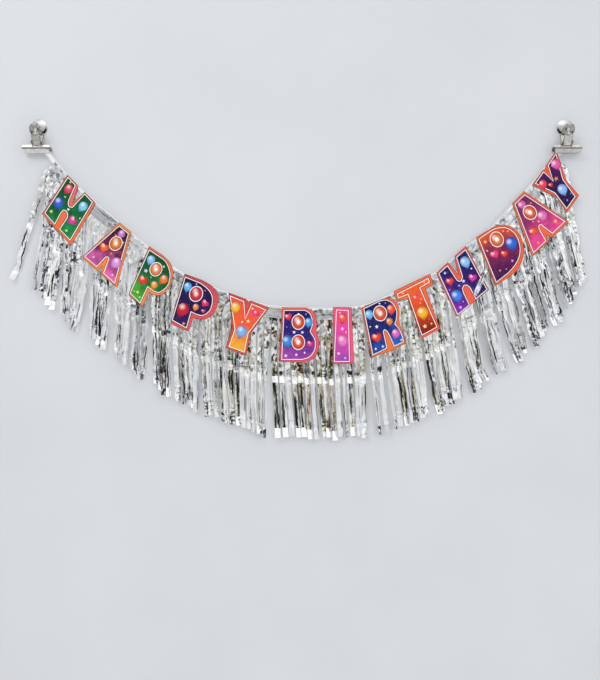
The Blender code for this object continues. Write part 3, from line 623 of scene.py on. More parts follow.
# Painted reflections in the film's colour, cool, olive and brown, from dark to light
FILM_TONE_STOPS = (0.0, 0.2, 0.38, 0.55, 0.74, 1.0)
FILM_TINTS = (("#2a2b2e", "#5d6066", "#9a9da2", "#c8cbcf", "#e6e9ec", "#ffffff"),
              ("#2a281b", "#5b563b", "#8f8864", "#bfb89a", "#e2dfce", "#ffffff"),
              ("#2c2024", "#6c4f40", "#ae8666", "#d2beac", "#ebe5df", "#ffffff"))


def film_finish():
    kit = Finish("silver_film_crinkled")
    place = kit.uv("film")
    facets = kit.use(FILM_CRINKLE, Place=place, Sliver=kit.attribute("sliver"),
                     Crinkle=kit.attribute("crinkle"), Hatch=kit.attribute("hatch"))
    # The film's base colour paints its reflections: the tone and paleness, with olive and brown
    # painted reflections where it is warm
    value = kit.plus(facets["Tone"], kit.attribute("pale"))
    cool, olive, brown = (
        kit.ramp(value, tuple(zip(FILM_TONE_STOPS, codes))) for codes in FILM_TINTS)
    warm = kit.attribute("warm")
    olive_share = kit.times(kit.math("GREATER_THAN", facets["Tint"], 0.36), warm)
    brown_share = kit.times(kit.math("GREATER_THAN", facets["Tint"], 0.87), warm)
    colour = kit.mix(brown_share, kit.mix(olive_share, cool, olive), brown)
    streak = kit.noise(kit.stretched(place, 600.0, 14.0, 1.0), 1.0, 2.0, 0.5)
    normal = kit.bump(streak, 0.10, 0.0004, facets["Normal"])
    rough = kit.range(kit.noise(place, 260.0, 2.0), 0.3, 0.7, 0.08, 0.16)
    return kit.set(Base_Color=colour, Metallic=1.0, Roughness=rough, Normal=normal)


def ribbon_finish():
    kit = Finish("white_satin_woven")
    place = kit.uv("film")
    weave = kit.node("TexWave", {"Vector": place, "Scale": 520.0, "Distortion": 0.6,
                                 "Detail": 1.0}, wave_type="BANDS", bands_direction="Y").outputs[1]
    across = kit.node("TexWave", {"Vector": place, "Scale": 900.0, "Distortion": 0.4},
                      wave_type="BANDS", bands_direction="X").outputs[1]
    threads = kit.plus(kit.times(weave, 0.6), kit.times(across, 0.4))
    soft = kit.noise(place, 60.0, 2.0)
    colour = kit.mix(kit.times(threads, 0.35), "#f7f7f8", "#dfe1e6")
    colour = kit.mix(kit.times(soft, 0.25), colour, "#d3d6de")
    side = kit.math("ABSOLUTE", kit.math("SUBTRACT", kit.node(
        "SeparateXYZ", {0: place}).outputs[0], RIBBON_WIDTH / 2))
    edging = kit.math("COMPARE", side, RIBBON_WIDTH * 0.33)
    edging.node.inputs[2].default_value = RIBBON_WIDTH * 0.07
    colour = kit.mix(kit.times(edging, 0.55), colour, "#a9adb6")
    return kit.set(Base_Color=colour, Roughness=kit.range(threads, 0.0, 1.0, 0.28, 0.48),
                   Sheen_Weight=0.35, Normal=kit.bump(threads, 0.5, 0.00015))


def nickel_finish(name, dark, light):
    kit = Finish(name)
    wear = kit.use(PLATE_WEAR, Place=kit.object_place())
    colour = kit.mix(kit.range(wear["Cloud"], 0.35, 0.7), dark, light)
    # The plates' per-vertex painted light: above 0 it mixes in painted shade towards dark brown, below
    # 0 a painted highlight towards white
    painted_light = kit.attribute("painted_light")
    colour = kit.mix(kit.range(painted_light, 0.0, 1.0), colour, "#2f2c28")
    colour = kit.mix(kit.range(painted_light, 0.0, -1.0), colour, "#ffffff")
    rough = kit.plus(kit.range(wear["Cloud"], 0.3, 0.75, 0.10, 0.20),
                     kit.times(wear["Scratches"], 0.10))
    normal = kit.bump(wear["Scratches"], 0.12, 0.0002)
    return kit.set(Base_Color=colour, Metallic=1.0, Roughness=rough, Normal=normal)


def foam_finish():
    kit = Finish("white_foam_cells")
    bubbles = kit.cells(kit.object_place(), 1500.0, out="Distance")
    colour = kit.mix(bubbles, "#efeee9", "#cfcdc6")
    return kit.set(Base_Color=colour, Roughness=0.9, Normal=kit.bump(bubbles, 0.6, 0.0003))


def card_run(kit, place, card, from_share, to_share):
    """How far a place lies on the way from one point of a card, at 0, to another, at 1."""
    start, end = card.point(*from_share), card.point(*to_share)
    way = (end - start) / (end - start).length_squared
    return kit.math("SUBTRACT", kit.vector("DOT_PRODUCT", place, (way.x, 0.0, way.y)),
                    way.dot(start))


def board_finish(card, corner, foot):
    """Printed border on the card's face, white core on its cut edges, plain board on its back."""
    kit = Finish("board_" + card.name)
    place = kit.object_place()
    strokes = kit.noise(kit.stretched(place, 520.0, 1.0, 130.0), 1.0, 3.0, 0.65)
    share = kit.plus(card_run(kit, place, card, (0.0, 0.0), (1.0, 1.0)),
                     kit.range(strokes, 0.3, 0.7, -0.3, 0.3))
    border = kit.ramp(share, ((0.05, corner), (0.75, foot)))
    border = kit.mix(kit.range(strokes, 0.52, 0.75, 0.0, 0.4), border, "#f9a57c")
    fibres = kit.noise(place, 900.0, 4.0, 0.7)
    core = kit.mix(fibres, "#f4efe6", "#d9d0c2")
    plain = kit.mix(kit.noise(place, 240.0, 4.0, 0.7), "#e9e6e0", "#cfcbc4")
    facing = kit.node("SeparateXYZ", {0: kit.node("TexCoord").outputs["Normal"]}).outputs[1]
    front = kit.math("LESS_THAN", facing, -0.5)
    back = kit.math("GREATER_THAN", facing, 0.5)
    colour = kit.mix(back, kit.mix(front, core, border), plain)
    rough = kit.range(front, 0.0, 1.0, 0.75, 0.36)
    return kit.set(Base_Color=colour, Roughness=rough, Specular_IOR_Level=PRINT_GLOSS,
                   Normal=kit.bump(fibres, 0.12, 0.0001))


def ground_finish(card, from_share, to_share, stops):
    """The picture's coloured ground, from one place on the card to another."""
    kit = Finish("ground_" + card.name)
    place = kit.object_place()
    glow = kit.noise(place, 46.0, 2.0, 0.5)
    share = kit.plus(card_run(kit, place, card, from_share, to_share),
                     kit.range(glow, 0.3, 0.7, -0.16, 0.16))
    first, second, third = stops
    colour = kit.ramp(share, ((0.0, first), (0.45, second), (0.95, third)))
    rays = kit.noise(kit.stretched(place, 300.0, 1.0, 55.0), 1.0, 2.0, 0.5)
    colour = kit.mix(kit.range(rays, 0.55, 0.8, 0.0, 0.28), colour, third)
    specks = kit.cells(place, 260.0, out="Distance")
    lit = kit.math("LESS_THAN", specks, 0.085)
    colour = kit.mix(kit.times(lit, 0.75), colour, "#f6e6d8")
    return kit.set(Base_Color=colour, Roughness=kit.range(rays, 0.3, 0.7, 0.30, 0.42),
                   Specular_IOR_Level=PRINT_GLOSS)


def ink_finish():
    """Balloons, hearts, stars and lines: the layer's own tint, lit at one side and dark at the rim."""
    kit = Finish("printed_ink")
    tint = kit.attribute("tint", "Color")
    place = kit.uv("art")
    rim = kit.vector("DISTANCE", place, (0.5, 0.5, 0.0))
    glint = kit.vector("DISTANCE", place, (0.36, 0.68, 0.0))
    dark = kit.mix(1.0, tint, (0.42, 0.36, 0.44, 1), "MULTIPLY")
    light = kit.mix(0.62, tint, (1.0, 0.97, 0.95, 1))
    colour = kit.mix(kit.range(rim, 0.22, 0.52), tint, dark)
    colour = kit.mix(kit.range(glint, 0.26, 0.03), colour, light)
    sheen = kit.noise(kit.object_place(), 90.0, 2.0)
    return kit.set(Base_Color=colour, Roughness=kit.range(sheen, 0.3, 0.7, 0.28, 0.40),
                   Specular_IOR_Level=PRINT_GLOSS)


# Cards and their print


class Card:
    """Place, tilt and size of one letter card, and the way from its shares to the wall's plane."""

    def __init__(self, row):
        self.name, place_share, rise_share, width_share, height_share, tilt, lean = row
        self.width = LETTER_HEIGHT * width_share
        self.height = LETTER_HEIGHT * height_share
        tilt, lean = math.radians(tilt), math.radians(lean)
        self.across = Vector((math.cos(tilt), -math.sin(tilt)))
        self.down = Vector((-math.sin(lean), -math.cos(lean)))
        middle = header.below(header.length * place_share, -LETTER_HEIGHT * rise_share)
        self.corner = middle - self.across * (self.width / 2)
        self.face_depth = -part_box(self.name)[0].y

    def point(self, across_share, down_share):
        return (self.corner + self.across * (self.width * across_share)
                + self.down * (self.height * down_share))


def picture_outline(card):
    points = []
    for kind, places in KEY_LINES[card.name]:
        run = [card.point(across / 100, down / 100) for across, down in places]
        points += smooth_curve(run, PRINT_CURVE_STEPS) if kind == "round" else run
    return points


def offset_outline(points, distance):
    """A closed outline moved outwards by a distance, with its corners kept."""
    turn = sum(a.x * b.y - a.y * b.x for a, b in closed(points))
    way = distance if turn > 0 else -distance
    moved = []
    for before, point, after in zip(points[-1:] + points[:-1], points, points[1:] + points[:1]):
        first, second = (point - before).normalized(), (after - point).normalized()
        squares = Vector((first.y, -first.x)), Vector((second.y, -second.x))
        corner = (squares[0] + squares[1]).normalized()
        moved.append(point + corner * (way / max(corner.dot(squares[0]), 0.5)))
    return moved


def balloon_shape(x, y):
    """A circle's point, narrowed to a balloon with a knot at its foot."""
    low = min(max((0.25 - y) / 1.25, 0.0), 1.0)
    if y < -0.97:
        return x * 0.6, y * 1.16
    return x * (0.84 - 0.34 * low * low), y


def heart_shape(x, y):
    turn = math.atan2(x, y)
    s, c = math.sin(turn), math.cos(turn)
    return (s ** 3 * 1.02,
            (13 * c - 5 * math.cos(2 * turn) - 2 * math.cos(3 * turn) - math.cos(4 * turn)) / 16.0)


def star_shape(x, y):
    turn = math.atan2(x, y)
    point = round(turn / math.radians(36))
    reach = 1.0 if point % 2 == 0 else 0.42
    return math.sin(turn) * reach, math.cos(turn) * reach


def plain_shape(x, y):
    return x, y


SHAPES = {"balloon": (balloon_shape, 28), "heart": (heart_shape, 36), "star": (star_shape, 10),
          "dot": (plain_shape, 12), "button": (plain_shape, 32)}


class InkLayers:
    """Flat layers of ink on one card, each a step in front of the last."""

    def __init__(self, card):
        self.card = card
        self.mesh = bmesh.new()
        self.tint = self.mesh.loops.layers.float_color.new("tint")
        self.art = self.mesh.loops.layers.uv.new("art")
        self.depth = card.face_depth + INK_STEP

    def dress(self, faces, colour, material, places=None):
        for face in faces:
            face.normal_update()
            if face.normal.y > 0:
                face.normal_flip()
            face.material_index = material
            for loop in face.loops:
                loop[self.tint] = colour
                loop[self.art].uv = places[loop.vert] if places else PLAIN_INK

    def fill(self, points, colour, material):
        """A flat face of ink with the given outline, one step in front of the last."""
        face = self.mesh.faces.new(
            [self.mesh.verts.new(in_front(point, self.depth)) for point in points])
        self.dress([face], paint(colour), material)
        self.depth += INK_STEP

    def edging(self, colour):
        """A thin darker line along the card's own edge."""
        rim = bmesh.new()
        rim.from_mesh(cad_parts[self.card.name].data)
        bmesh.ops.remove_doubles(rim, verts=rim.verts, dist=1e-6)
        rim.normal_update()
        bmesh.ops.delete(rim, geom=[face for face in rim.faces if face.normal.y > -0.9],
                         context="FACES")
        ring = bmesh.ops.inset_region(rim, faces=rim.faces, thickness=EDGE_LINE_WIDTH,
                                      use_boundary=True, use_even_offset=True)["faces"]
        for face in ring:
            drawn = self.mesh.faces.new([
                self.mesh.verts.new((vert.co.x, -self.depth, vert.co.z)) for vert in face.verts])
            self.dress([drawn], colour, 1)
        rim.free()
        self.depth += INK_STEP

    def picture(self, outline):
        """The ground inside its white line, with a dark line round that."""
        self.fill(offset_outline(outline, DARK_LINE_WIDTH), LINE_DARK, 1)
        self.fill(outline, LINE_WHITE, 1)
        self.fill(offset_outline(outline, -LINE_WIDTH), LINE_WHITE, 0)

    def motif(self, kind, across_share, down_share, size, turn, colour, squeeze=1.0):
        self.depth += INK_STEP / 8
        shape, corners = SHAPES[kind]
        made = bmesh.ops.create_circle(self.mesh, cap_ends=True, segments=corners, radius=1.0)
        places = {}
        shaded = kind in ("balloon", "heart", "button") and colour != LINE_WHITE
        middle = self.card.point(across_share, down_share)
        up = -self.card.down
        lean = math.atan2(-up.x, up.y) - math.radians(turn)
        for vert in made["verts"]:
            x, y = shape(vert.co.x, vert.co.y)
            if shaded:
                places[vert] = (0.5 + x / 2, 0.5 + y / 2)
            x *= squeeze
            spot = middle + Vector((x * math.cos(lean) - y * math.sin(lean),
                                    x * math.sin(lean) + y * math.cos(lean))) * size
            vert.co = in_front(spot, self.depth)
        faces = {face for vert in made["verts"] for face in vert.link_faces}
        self.dress(faces, paint(colour), 1, places)


def make_prints():
    ink = ink_finish()
    for row in LETTERS:
        card = Card(row)
        corner, foot, (start, end), stops = CARD_PAINTS[card.name]
        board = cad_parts[card.name]
        board.data.materials.clear()
        board.data.materials.append(board_finish(card, corner, foot))
        layers = InkLayers(card)
        layers.edging(tuple(share * EDGE_LINE_TONE for share in paint(corner)[:3]) + (1.0,))
        layers.picture(picture_outline(card))
        for kind, across, down, size, turn, colour in MOTIFS[card.name]:
            layers.motif(kind, across / 100, down / 100, size / 1000 * MOTIF_SIZE, turn, colour)
        for across, down, size, ring, centre in BUTTONS.get(card.name, ()):
            layers.depth += INK_STEP
            for share, colour in zip(BUTTON_RINGS, (LINE_WHITE, ring, centre)):
                layers.motif("button", across, down, size * share, 0, colour, BUTTON_SQUEEZE)
        body = "banner" if card.name == CLIPPED_CARD else card.name
        finish_piece(card.name + "_print", layers.mesh,
                     [ground_finish(card, start, end, stops), ink], body)


# Ribbon and film


# Film looks kept per corner; paleness, hatch, sliver and warmth set its painted reflections
FILM_LOOKS = ("crinkle", "pale", "hatch", "sliver", "warm")
# Columns, rows and ripple in metres of the ribbon and of the header band
RIBBON_GRID = (420, 4, 0.00012)
BAND_GRID = (560, 8, 0.00018)
# Stretch of the header band that isn't crumpled, as shares of its line
SMOOTH_BAND = (0.105, 0.145)
STRIP_COLUMNS = 4


def film_grid(mesh, rows):
    """A grid one strip wide, as a table of each vertex's column and row."""
    made = bmesh.ops.create_grid(mesh, x_segments=STRIP_COLUMNS, y_segments=rows, size=1.0)
    return {vert: (round((vert.co.x + 1) / 2 * STRIP_COLUMNS), round((1 - vert.co.y) / 2 * rows))
            for vert in made["verts"]}


class FilmMesh:
    """A bmesh of film with its UV in metres and the looks that its finish reads."""

    def __init__(self):
        self.mesh = bmesh.new()
        self.uv = self.mesh.loops.layers.uv.new("film")
        self.looks = [self.mesh.loops.layers.float.new(name) for name in FILM_LOOKS]

    def dress(self, loop, place, looks):
        loop[self.uv].uv = place
        for layer, value in zip(self.looks, looks):
            loop[layer] = value


def header_sheet(start, end, upper_drop, lower_drop, depth, steps, rows, ripple):
    """A sheet along the header with a slight ripple."""
    film = FilmMesh()
    made = bmesh.ops.create_grid(film.mesh, x_segments=steps, y_segments=rows, size=1.0)
    places = {}
    for vert in made["verts"]:
        place = start + (end - start) * (vert.co.x + 1) / 2
        drop = upper_drop + (lower_drop - upper_drop) * (1 - vert.co.y) / 2
        places[vert] = (drop, place)
        vert.co = in_front(header.below(place, drop),
                           depth + ripple * wave(place * 55, drop * 60, 3.0))
    for face in film.mesh.faces:
        for loop in face.loops:
            drop, place = places[loop.vert]
            share = place / header.length
            rough = 0.10 + 0.45 * ease(wave(place * 9, 7.0, 1.0) + 0.5)
            rough *= 0.2 if SMOOTH_BAND[0] < share < SMOOTH_BAND[1] else 1.0
            # the band's painted reflection: a wavering paleness, warmer towards the middle
            tone = 0.62 + 0.25 * wave(place * 7, 2.0, 5.0)
            warm = 0.35 * ease(share * 5 - 1) * ease((1 - share) * 5 - 1)
            film.dress(loop, (drop, place), (rough, tone, 0.0, 0.2, warm))
    bmesh.ops.recalc_face_normals(film.mesh, faces=film.mesh.faces)
    return film.mesh


def make_ribbon():
    mesh = header_sheet(-RIBBON_TAIL, header.length + RIBBON_TAIL, 0.0, RIBBON_WIDTH,
                        RIBBON_DEPTH + RIBBON_THICKNESS / 2, *RIBBON_GRID)
    piece = finish_piece("satin_ribbon", mesh, [ribbon_finish()], "banner",
                         ["ribbon"], 60, RIBBON_THICKNESS * 0.6)


def make_band(film):
    start, end = FILM_START, header.length - FILM_END
    mesh = header_sheet(start, end, RIBBON_PEEK, BAND_DROP, film_depth(), *BAND_GRID)
    piece = finish_piece("film_band", mesh, [film], "banner", ["foil_header"], 40,
                         FILM_THICKNESS * 0.5)


CREASE_FACET = (0.480, 0.534)
TIP_FACET = 0.922
# Rows of a strip between its folds: share of the length at which a stretch ends, its rows, and
# how far back it ends, in metres
STRETCHES = (
    (0.13, 5, 0.0015), (0.28, 7, 0.0022), (0.45, 9, 0.0032), (CREASE_FACET[0], 2, 0.0058),
    (CREASE_FACET[1], 3, 0.0014), (0.556, 2, 0.0034), (0.73, 9, 0.0026), (0.895, 9, 0.0048),
    (TIP_FACET, 2, 0.0080), (1.0, 4, 0.0010),
)
# Middles of the crease and of the tip's fold, as shares of the strip's length
CREASE_MIDDLE = 0.505
TIP_FOLD = 0.965
# Least and most distance from the wall, and how much farther it may be below the crease
WALL_CLEARANCE = 0.0016
FRONT_LIMIT = 0.0149
LOWER_FRONT_REACH = 0.007
# Pitch and count of the random bends, then in metres the depths of bends, tangle and crumples,
# the sideways sways, the step in which a strip is walked down, and last how far the crease
# rises and falls along the banner, as a share of a strip's length
KINK_PITCH = 0.027
KINK_COUNT = 16
KINK_DEPTH = 0.0011
TANGLE_DEPTH = 0.0028
ROUGH_DEPTH = 0.0008
SLOW_SWAY = 0.0020
QUICK_SWAY = 0.0006
LOOSE_SWAY = 0.0036
TANGLE_SWAY = 0.0045
WALK_STEP = 0.004
CREASE_WAVE = 0.016
# Ranges from strip to strip: how far back the tip lies in metres, the crease's shift as a share
# of the length, the edges' curl in metres, turns and twists in degrees, folds and painted reflection
# tones
TIP_BACKS = (-0.0008, 0.0022)
CREASE_SHIFTS = (-0.004, 0.004)
EDGE_CURLS = (-0.0014, 0.0014)
STRIP_TURNS = (8, 28)
EDGE_ON_TURNS = (50, 66)
LOOSE_LEFT_TURNS = (12, 40)
LOOSE_RIGHT_TURNS = (-6, 8)
STRIP_TWISTS = (14, 34)
LOOSE_TWIST = 44
FOLD_SHARES = (0.75, 1.25)
PALE_SHIFTS = (-0.05, 0.05)
DARK_TONES = (0.25, 0.60)
HATCH_SHARES = (0.2, 1.0)
CREASE_TONES = (0.88, 1.05)
# Each bunch from the left: how crumpled it is above its fold, how warm its painted reflections
# are, how far each strip's tip is drawn sideways in millimetres, each strip's look (p plain, m
# mixed, d dark, k crumpled, a capital for one that is turned edge on), and its tip's painted
# reflection (w white highlight, g grey, d dark, c crumpled, n plain)
BUNCHES = (
    (0.50, 0.1, (2,), "m", "w"),
    (0.95, 0.1, (5, 12, 7, 3, 2, 18, 13, 8, 4), "pkkmkpkpp", "gdwwwnnnn"),
    (0.45, 0.1, (-1, -6, 24, 20, 17, 11, 6, 29), "pPppmmpp", "nnnwwdwn"),
    (0.50, 0.2, (22, 17, 12, 24, 20, 15, 12), "mpppdmD", "wgnnwwd"),
    (0.65, 0.4, (36, 32, 27, 23, 33, 32, 28, 23), "mdDmpDmm", "cwdwcdww"),
    (0.70, 0.6, (15, 28, 23, 24, 25, 20, 19, 19), "pdppDpdd", "nccwdccw"),
    (0.85, 0.8, (15, 13, 7, 5, -3, 14, 18), "pmpmPdm", "ngnwdww"),
    (0.90, 0.9, (16, 19, 17, 17, 16, 23, 17, 16), "pdddpdmd", "nwwwncww"),
    (0.90, 0.9, (12, 11, 10, 8, -2, 21, 16, 17), "pMdpmMpP", "wdwncdgd"),
    (0.85, 0.8, (12, 11, 10, 8, 8, 5, 24), "pdpDppd", "nwncccw"),
    (0.75, 0.6, (17, 12, 8, 1, -4, 14, 9, 4), "mpdppDpm", "cccwnccw"),
    (0.50, 0.3, (0, 18, 17, 17, 15, 35, 29, 21), "pDmpPmpp", "ndwgnwcn"),
    (0.60, 0.1, (14, 24, 17, 13, 10, 9, 19, 18), "DkdpkDkm", "dccwwcwc"),
    (0.75, 0.1, (14, 17, 11, 5, 0, -3, -6, -8, -12), "mDkkpMkpk", "dcwcndccc"),
)
# Crinkle of each look, and the paleness, dark slivers and warmth of its painted reflections
LOOK_SHARES = {"p": (0.02, 0.95, 0.20, 0.2), "m": (0.12, 0.84, 0.85, 0.6),
               "d": (0.30, 0.56, 1.00, 1.0), "k": (0.75, 0.76, 0.95, 0.3)}
# Painted tones of the tips' last fold, white for a painted highlight, and the painted reflection tone
# of crumpled film above the crease
TIP_TONES = {"w": 1.0, "g": 0.74, "d": 0.48}
UPPER_TONE = 0.46


def stretch_rows():
    """Every row's share of the strip's length, and the row's plain depth behind the band."""
    rows = [(0.0, 0.0)]
    for share, count, back in STRETCHES:
        from_share, from_back = rows[-1]
        for step in range(1, count + 1):
            rows.append((from_share + (share - from_share) * step / count,
                         from_back + (back - from_back) * step / count))
    return rows


ROWS = stretch_rows()


class FilmStrip:
    """One strip of the fringe, from the band's lower edge to its tip."""

    def __init__(self, left, right, stray, rough, warm, shift, look, tip, chance, seed):
        self.width, self.seed, self.warm, self.rough = right - left, seed, warm, rough
        self.root = (left + right) / 2
        self.left, self.right = left - SLIT / 2, right + SLIT / 2
        self.slope = header.slope(self.root)
        self.final_share = (STRAY_FINAL_LEAN_SHARE if stray
                            else LEFT_FINAL_LEAN_SHARE if self.slope > 0
                            else RIGHT_FINAL_LEAN_SHARE)
        self.tip_shift = shift / 1000
        self.tip_back = chance.uniform(*TIP_BACKS)
        self.length = STRIP_LENGTH + chance.uniform(-STRIP_LENGTH_SPREAD, STRIP_LENGTH_SPREAD)
        self.loose = ease(abs(self.slope) / 0.75)
        self.turn_length = TURN_LENGTH + (END_TURN_LENGTH - TURN_LENGTH) * self.loose
        more = chance.uniform(*(LOOSE_LEFT_TURNS if self.slope > 0 else LOOSE_RIGHT_TURNS))
        self.yaw = math.radians(chance.uniform(*STRIP_TURNS) + more * self.loose)
        self.turned = (math.radians(chance.uniform(*EDGE_ON_TURNS)) if look.isupper()
                       else self.yaw)
        self.twist = math.radians(chance.uniform(*STRIP_TWISTS) + LOOSE_TWIST * self.loose)
        self.curl = chance.uniform(*EDGE_CURLS)
        self.fold = chance.uniform(*FOLD_SHARES)
        self.kinks = [chance.uniform(-1, 1) for _ in range(KINK_COUNT)]
        self.crinkle, self.pale, self.sliver, self.warmth = LOOK_SHARES[look.lower()]
        self.pale += chance.uniform(*PALE_SHIFTS)
        self.sliver *= 1 + 0.4 * self.loose
        if look.lower() != "p":
            self.crinkle += 0.35 * self.loose
        # strips at the right end get a paler painted reflection
        if self.slope < 0:
            self.pale += 0.05 * self.loose
        if stray:
            self.yaw, self.turned, self.twist = self.yaw * 0.4, self.yaw * 0.4, self.twist * 0.5
        self.dark_column = chance.randrange(STRIP_COLUMNS)
        self.dark_tone = chance.uniform(*DARK_TONES)
        self.crease_shift = chance.uniform(*CREASE_SHIFTS)
        self.tangle = 1.0 if look == "k" else 0.35 * self.loose
        self.calm = 1 - ease((rough - 0.55) / 0.3) if look.lower() == "p" else 0.0
        self.hatch = chance.uniform(*HATCH_SHARES)
        self.crease_tone = chance.uniform(*CREASE_TONES) - 0.14 * self.loose
        if look.lower() == "p":
            self.fold *= 0.4
            self.crease_tone = self.pale
        self.tip = tip
        self.foot = header.below(self.root, BAND_DROP + SEAT_GAP + ROOT_HEIGHT)

    def wave(self, at, line, spread=1.0):
        """A wave of this strip's own at a place along it."""
        return wave(at, self.seed * spread, line)

    def run(self, share):
        """Length below the root, with the fold a little higher or lower from strip to strip."""
        shift = CREASE_WAVE * wave(self.root * 14, 3.0, 8.0) + self.crease_shift
        return self.length * (share + shift * math.sin(math.pi * share))

    def lean(self, run, turn_length):
        rest = 1 - ease(run / turn_length)
        return self.slope * (self.final_share + (1 - self.final_share) * rest)

    def fall(self, turn_length):
        """The strip's middle at every row, walked down its length."""
        point, run, found = self.foot.copy(), 0.0, []
        for share, _ in ROWS:
            goal = self.run(share)
            while run < goal - 1e-9:
                step = min(WALK_STEP, goal - run)
                lean = self.lean(run + step / 2, turn_length)
                point += Vector((-math.sin(lean), -math.cos(lean))) * step
                run += step
            found.append(point.copy())
        return found

    def middles(self):
        """A short turn at the root, then a steady slant to the tip's place, with waves."""
        found = self.fall(self.turn_length)
        slant = self.fall(TURN_LENGTH)[-1] - found[-1]
        for (share, _), point in zip(ROWS, found):
            run = self.run(share)
            sway = SLOW_SWAY * self.wave(run * 9, 0.0) * ease(run / 0.08)
            sway += ((QUICK_SWAY + LOOSE_SWAY * self.loose) * self.wave(run * 26, 2.0)
                     * ease(run / 0.06))
            curls = self.wave(run * 48, 6.0) * ease(run / 0.02)
            sway += TANGLE_SWAY * self.tangle * curls * (1 - ease((share - 0.62) / 0.15))
            point += slant * share ** 1.6 + Vector((sway + self.tip_shift * share ** 1.5, 0.0))
        return found

    def kink(self, run):
        """Depth of the random bends at a length below the root."""
        place = run / KINK_PITCH
        index = min(int(place), len(self.kinks) - 2)
        share = place - index
        bend = KINK_DEPTH * (self.kinks[index] * (1 - share) + self.kinks[index + 1] * share)
        return bend + TANGLE_DEPTH * self.tangle * self.wave(run * 62, 8.0)

    def row(self, index, middle):
        """Points across the strip at one of its rows."""
        share, back = ROWS[index]
        run = self.run(share)
        lean = self.lean(run, self.turn_length)
        turn = self.wave(run * 7.0, 9.0, 3.1)
        folded = min(abs(share - CREASE_MIDDLE) / 0.05, abs(share - TIP_FOLD) / 0.06, 1.0)
        yaw = self.yaw + (self.turned - self.yaw) * ease((share - 0.12) / 0.25)
        yaw = (yaw + self.twist * turn * (0.35 + 0.65 * folded)) * ease(run / 0.05)
        across = Vector((math.cos(lean) * math.cos(yaw), math.sin(yaw),
                         -math.sin(lean) * math.cos(yaw)))
        facing = Vector((-math.sin(yaw) * math.cos(lean), math.cos(yaw),
                         math.sin(yaw) * math.sin(lean)))
        depth = (film_depth() - back * self.fold - self.tip_back * ease(run / self.length)
                 - self.kink(run) * ease(run / 0.03))
        points = []
        for column in range(STRIP_COLUMNS + 1):
            u = column / STRIP_COLUMNS * 2 - 1
            bow = self.curl * (u * u - 0.4) * ease(run / 0.06)
            rough = ROUGH_DEPTH * self.crinkle * wave(run * 95, u * 1.3, self.seed)
            point = (in_front(middle, depth) + across * (self.width / 2 * u)
                     + facing * (bow + rough * ease(run / 0.03)))
            reach = FRONT_LIMIT + LOWER_FRONT_REACH * ease((share - 0.60) / 0.15)
            point.y = min(max(point.y, -reach), -WALL_CLEARANCE)
            points.append(point)
        return points

    def looks(self, share, face_share, column):
        """Crinkle, paleness, hatch, sliver and warmth at one corner of a face, which set its painted
        reflection.
        """
        warm = self.warm * self.warmth
        pale = self.pale + (0.03 + 0.12 * self.sliver) * self.wave(share * 5, 4.0)
        # the tip's last fold: a painted highlight, grey or dark
        if face_share > TIP_FACET and self.tip in TIP_TONES:
            return 0.8 if self.tip == "d" else 0.05, TIP_TONES[self.tip], 0.0, 0.0, 0.0
        # the crease facets: a painted highlight
        if CREASE_FACET[0] < face_share < CREASE_FACET[1]:
            return 0.25, self.crease_tone, 0.25 * self.hatch, 0.25, 0.6 * self.warm
        # a dark line of painted reflection down one column
        if column == self.dark_column:
            line = ease(self.wave(face_share * 7, 5.0, 2.3) * 3 + 0.4)
            pale -= self.dark_tone * line * (
                1 - (0.7 * self.rough if share < CREASE_FACET[0] else 0))
        above_fold = max(ease(1 - abs(share - 0.435) / 0.055),
                         0.7 * ease(1 - abs(share - 0.89) / 0.04))
        crushed = ease((share - 0.82) / 0.06) if self.tip == "c" else 0.0
        above_fold = max(above_fold, crushed)
        patch = ease(self.wave(share * 8, 2.0, 1.7) * 1.6 + 0.4)
        crinkle = self.crinkle * (0.4 + 0.6 * patch)
        sliver = self.sliver
        if share < CREASE_FACET[0]:
            crumple = self.rough * (0.45 + 0.55 * patch)
            crumple *= 1 - 0.8 * self.calm * ease((share - 0.10) / 0.10)
            crinkle = max(crinkle, crumple)
            # crumpled film above the crease takes a painted mid-grey reflection tone
            pale += (UPPER_TONE + 0.30 * self.loose - pale) * 0.85 * crumple
            sliver += (0.3 - sliver) * self.rough
            warm = max(warm, self.warm * 0.8)
        pale += 0.12 * crushed
        crinkle = max(crinkle, 0.5 * above_fold, 0.8 * crushed)
        return crinkle, pale, self.hatch * above_fold, sliver, warm

    def build(self, film):
        rows = [[in_front(header.below(
            self.left + (self.right - self.left) * column / STRIP_COLUMNS,
            BAND_DROP + SEAT_GAP), film_depth()) for column in range(STRIP_COLUMNS + 1)]]
        rows += [self.row(index, middle) for index, middle in enumerate(self.middles())]
        runs = [-ROOT_HEIGHT] + [self.run(share) for share, _ in ROWS]
        shares = [0.0] + [share for share, _ in ROWS]
        cells = film_grid(film.mesh, len(ROWS))
        for vert, (column, row) in cells.items():
            vert.co = rows[row][column]
        for face in {face for vert in cells for face in vert.link_faces}:
            spans = [shares[cells[vert][1]] for vert in face.verts]
            face_share = sum(spans) / len(spans)
            face_column = min(cells[vert][0] for vert in face.verts)
            for loop in face.loops:
                column, row = cells[loop.vert]
                place = (column / STRIP_COLUMNS * self.width + self.seed * 0.173,
                         runs[row] + self.seed * 0.61)
                film.dress(loop, place, self.looks(shares[row], face_share, face_column))


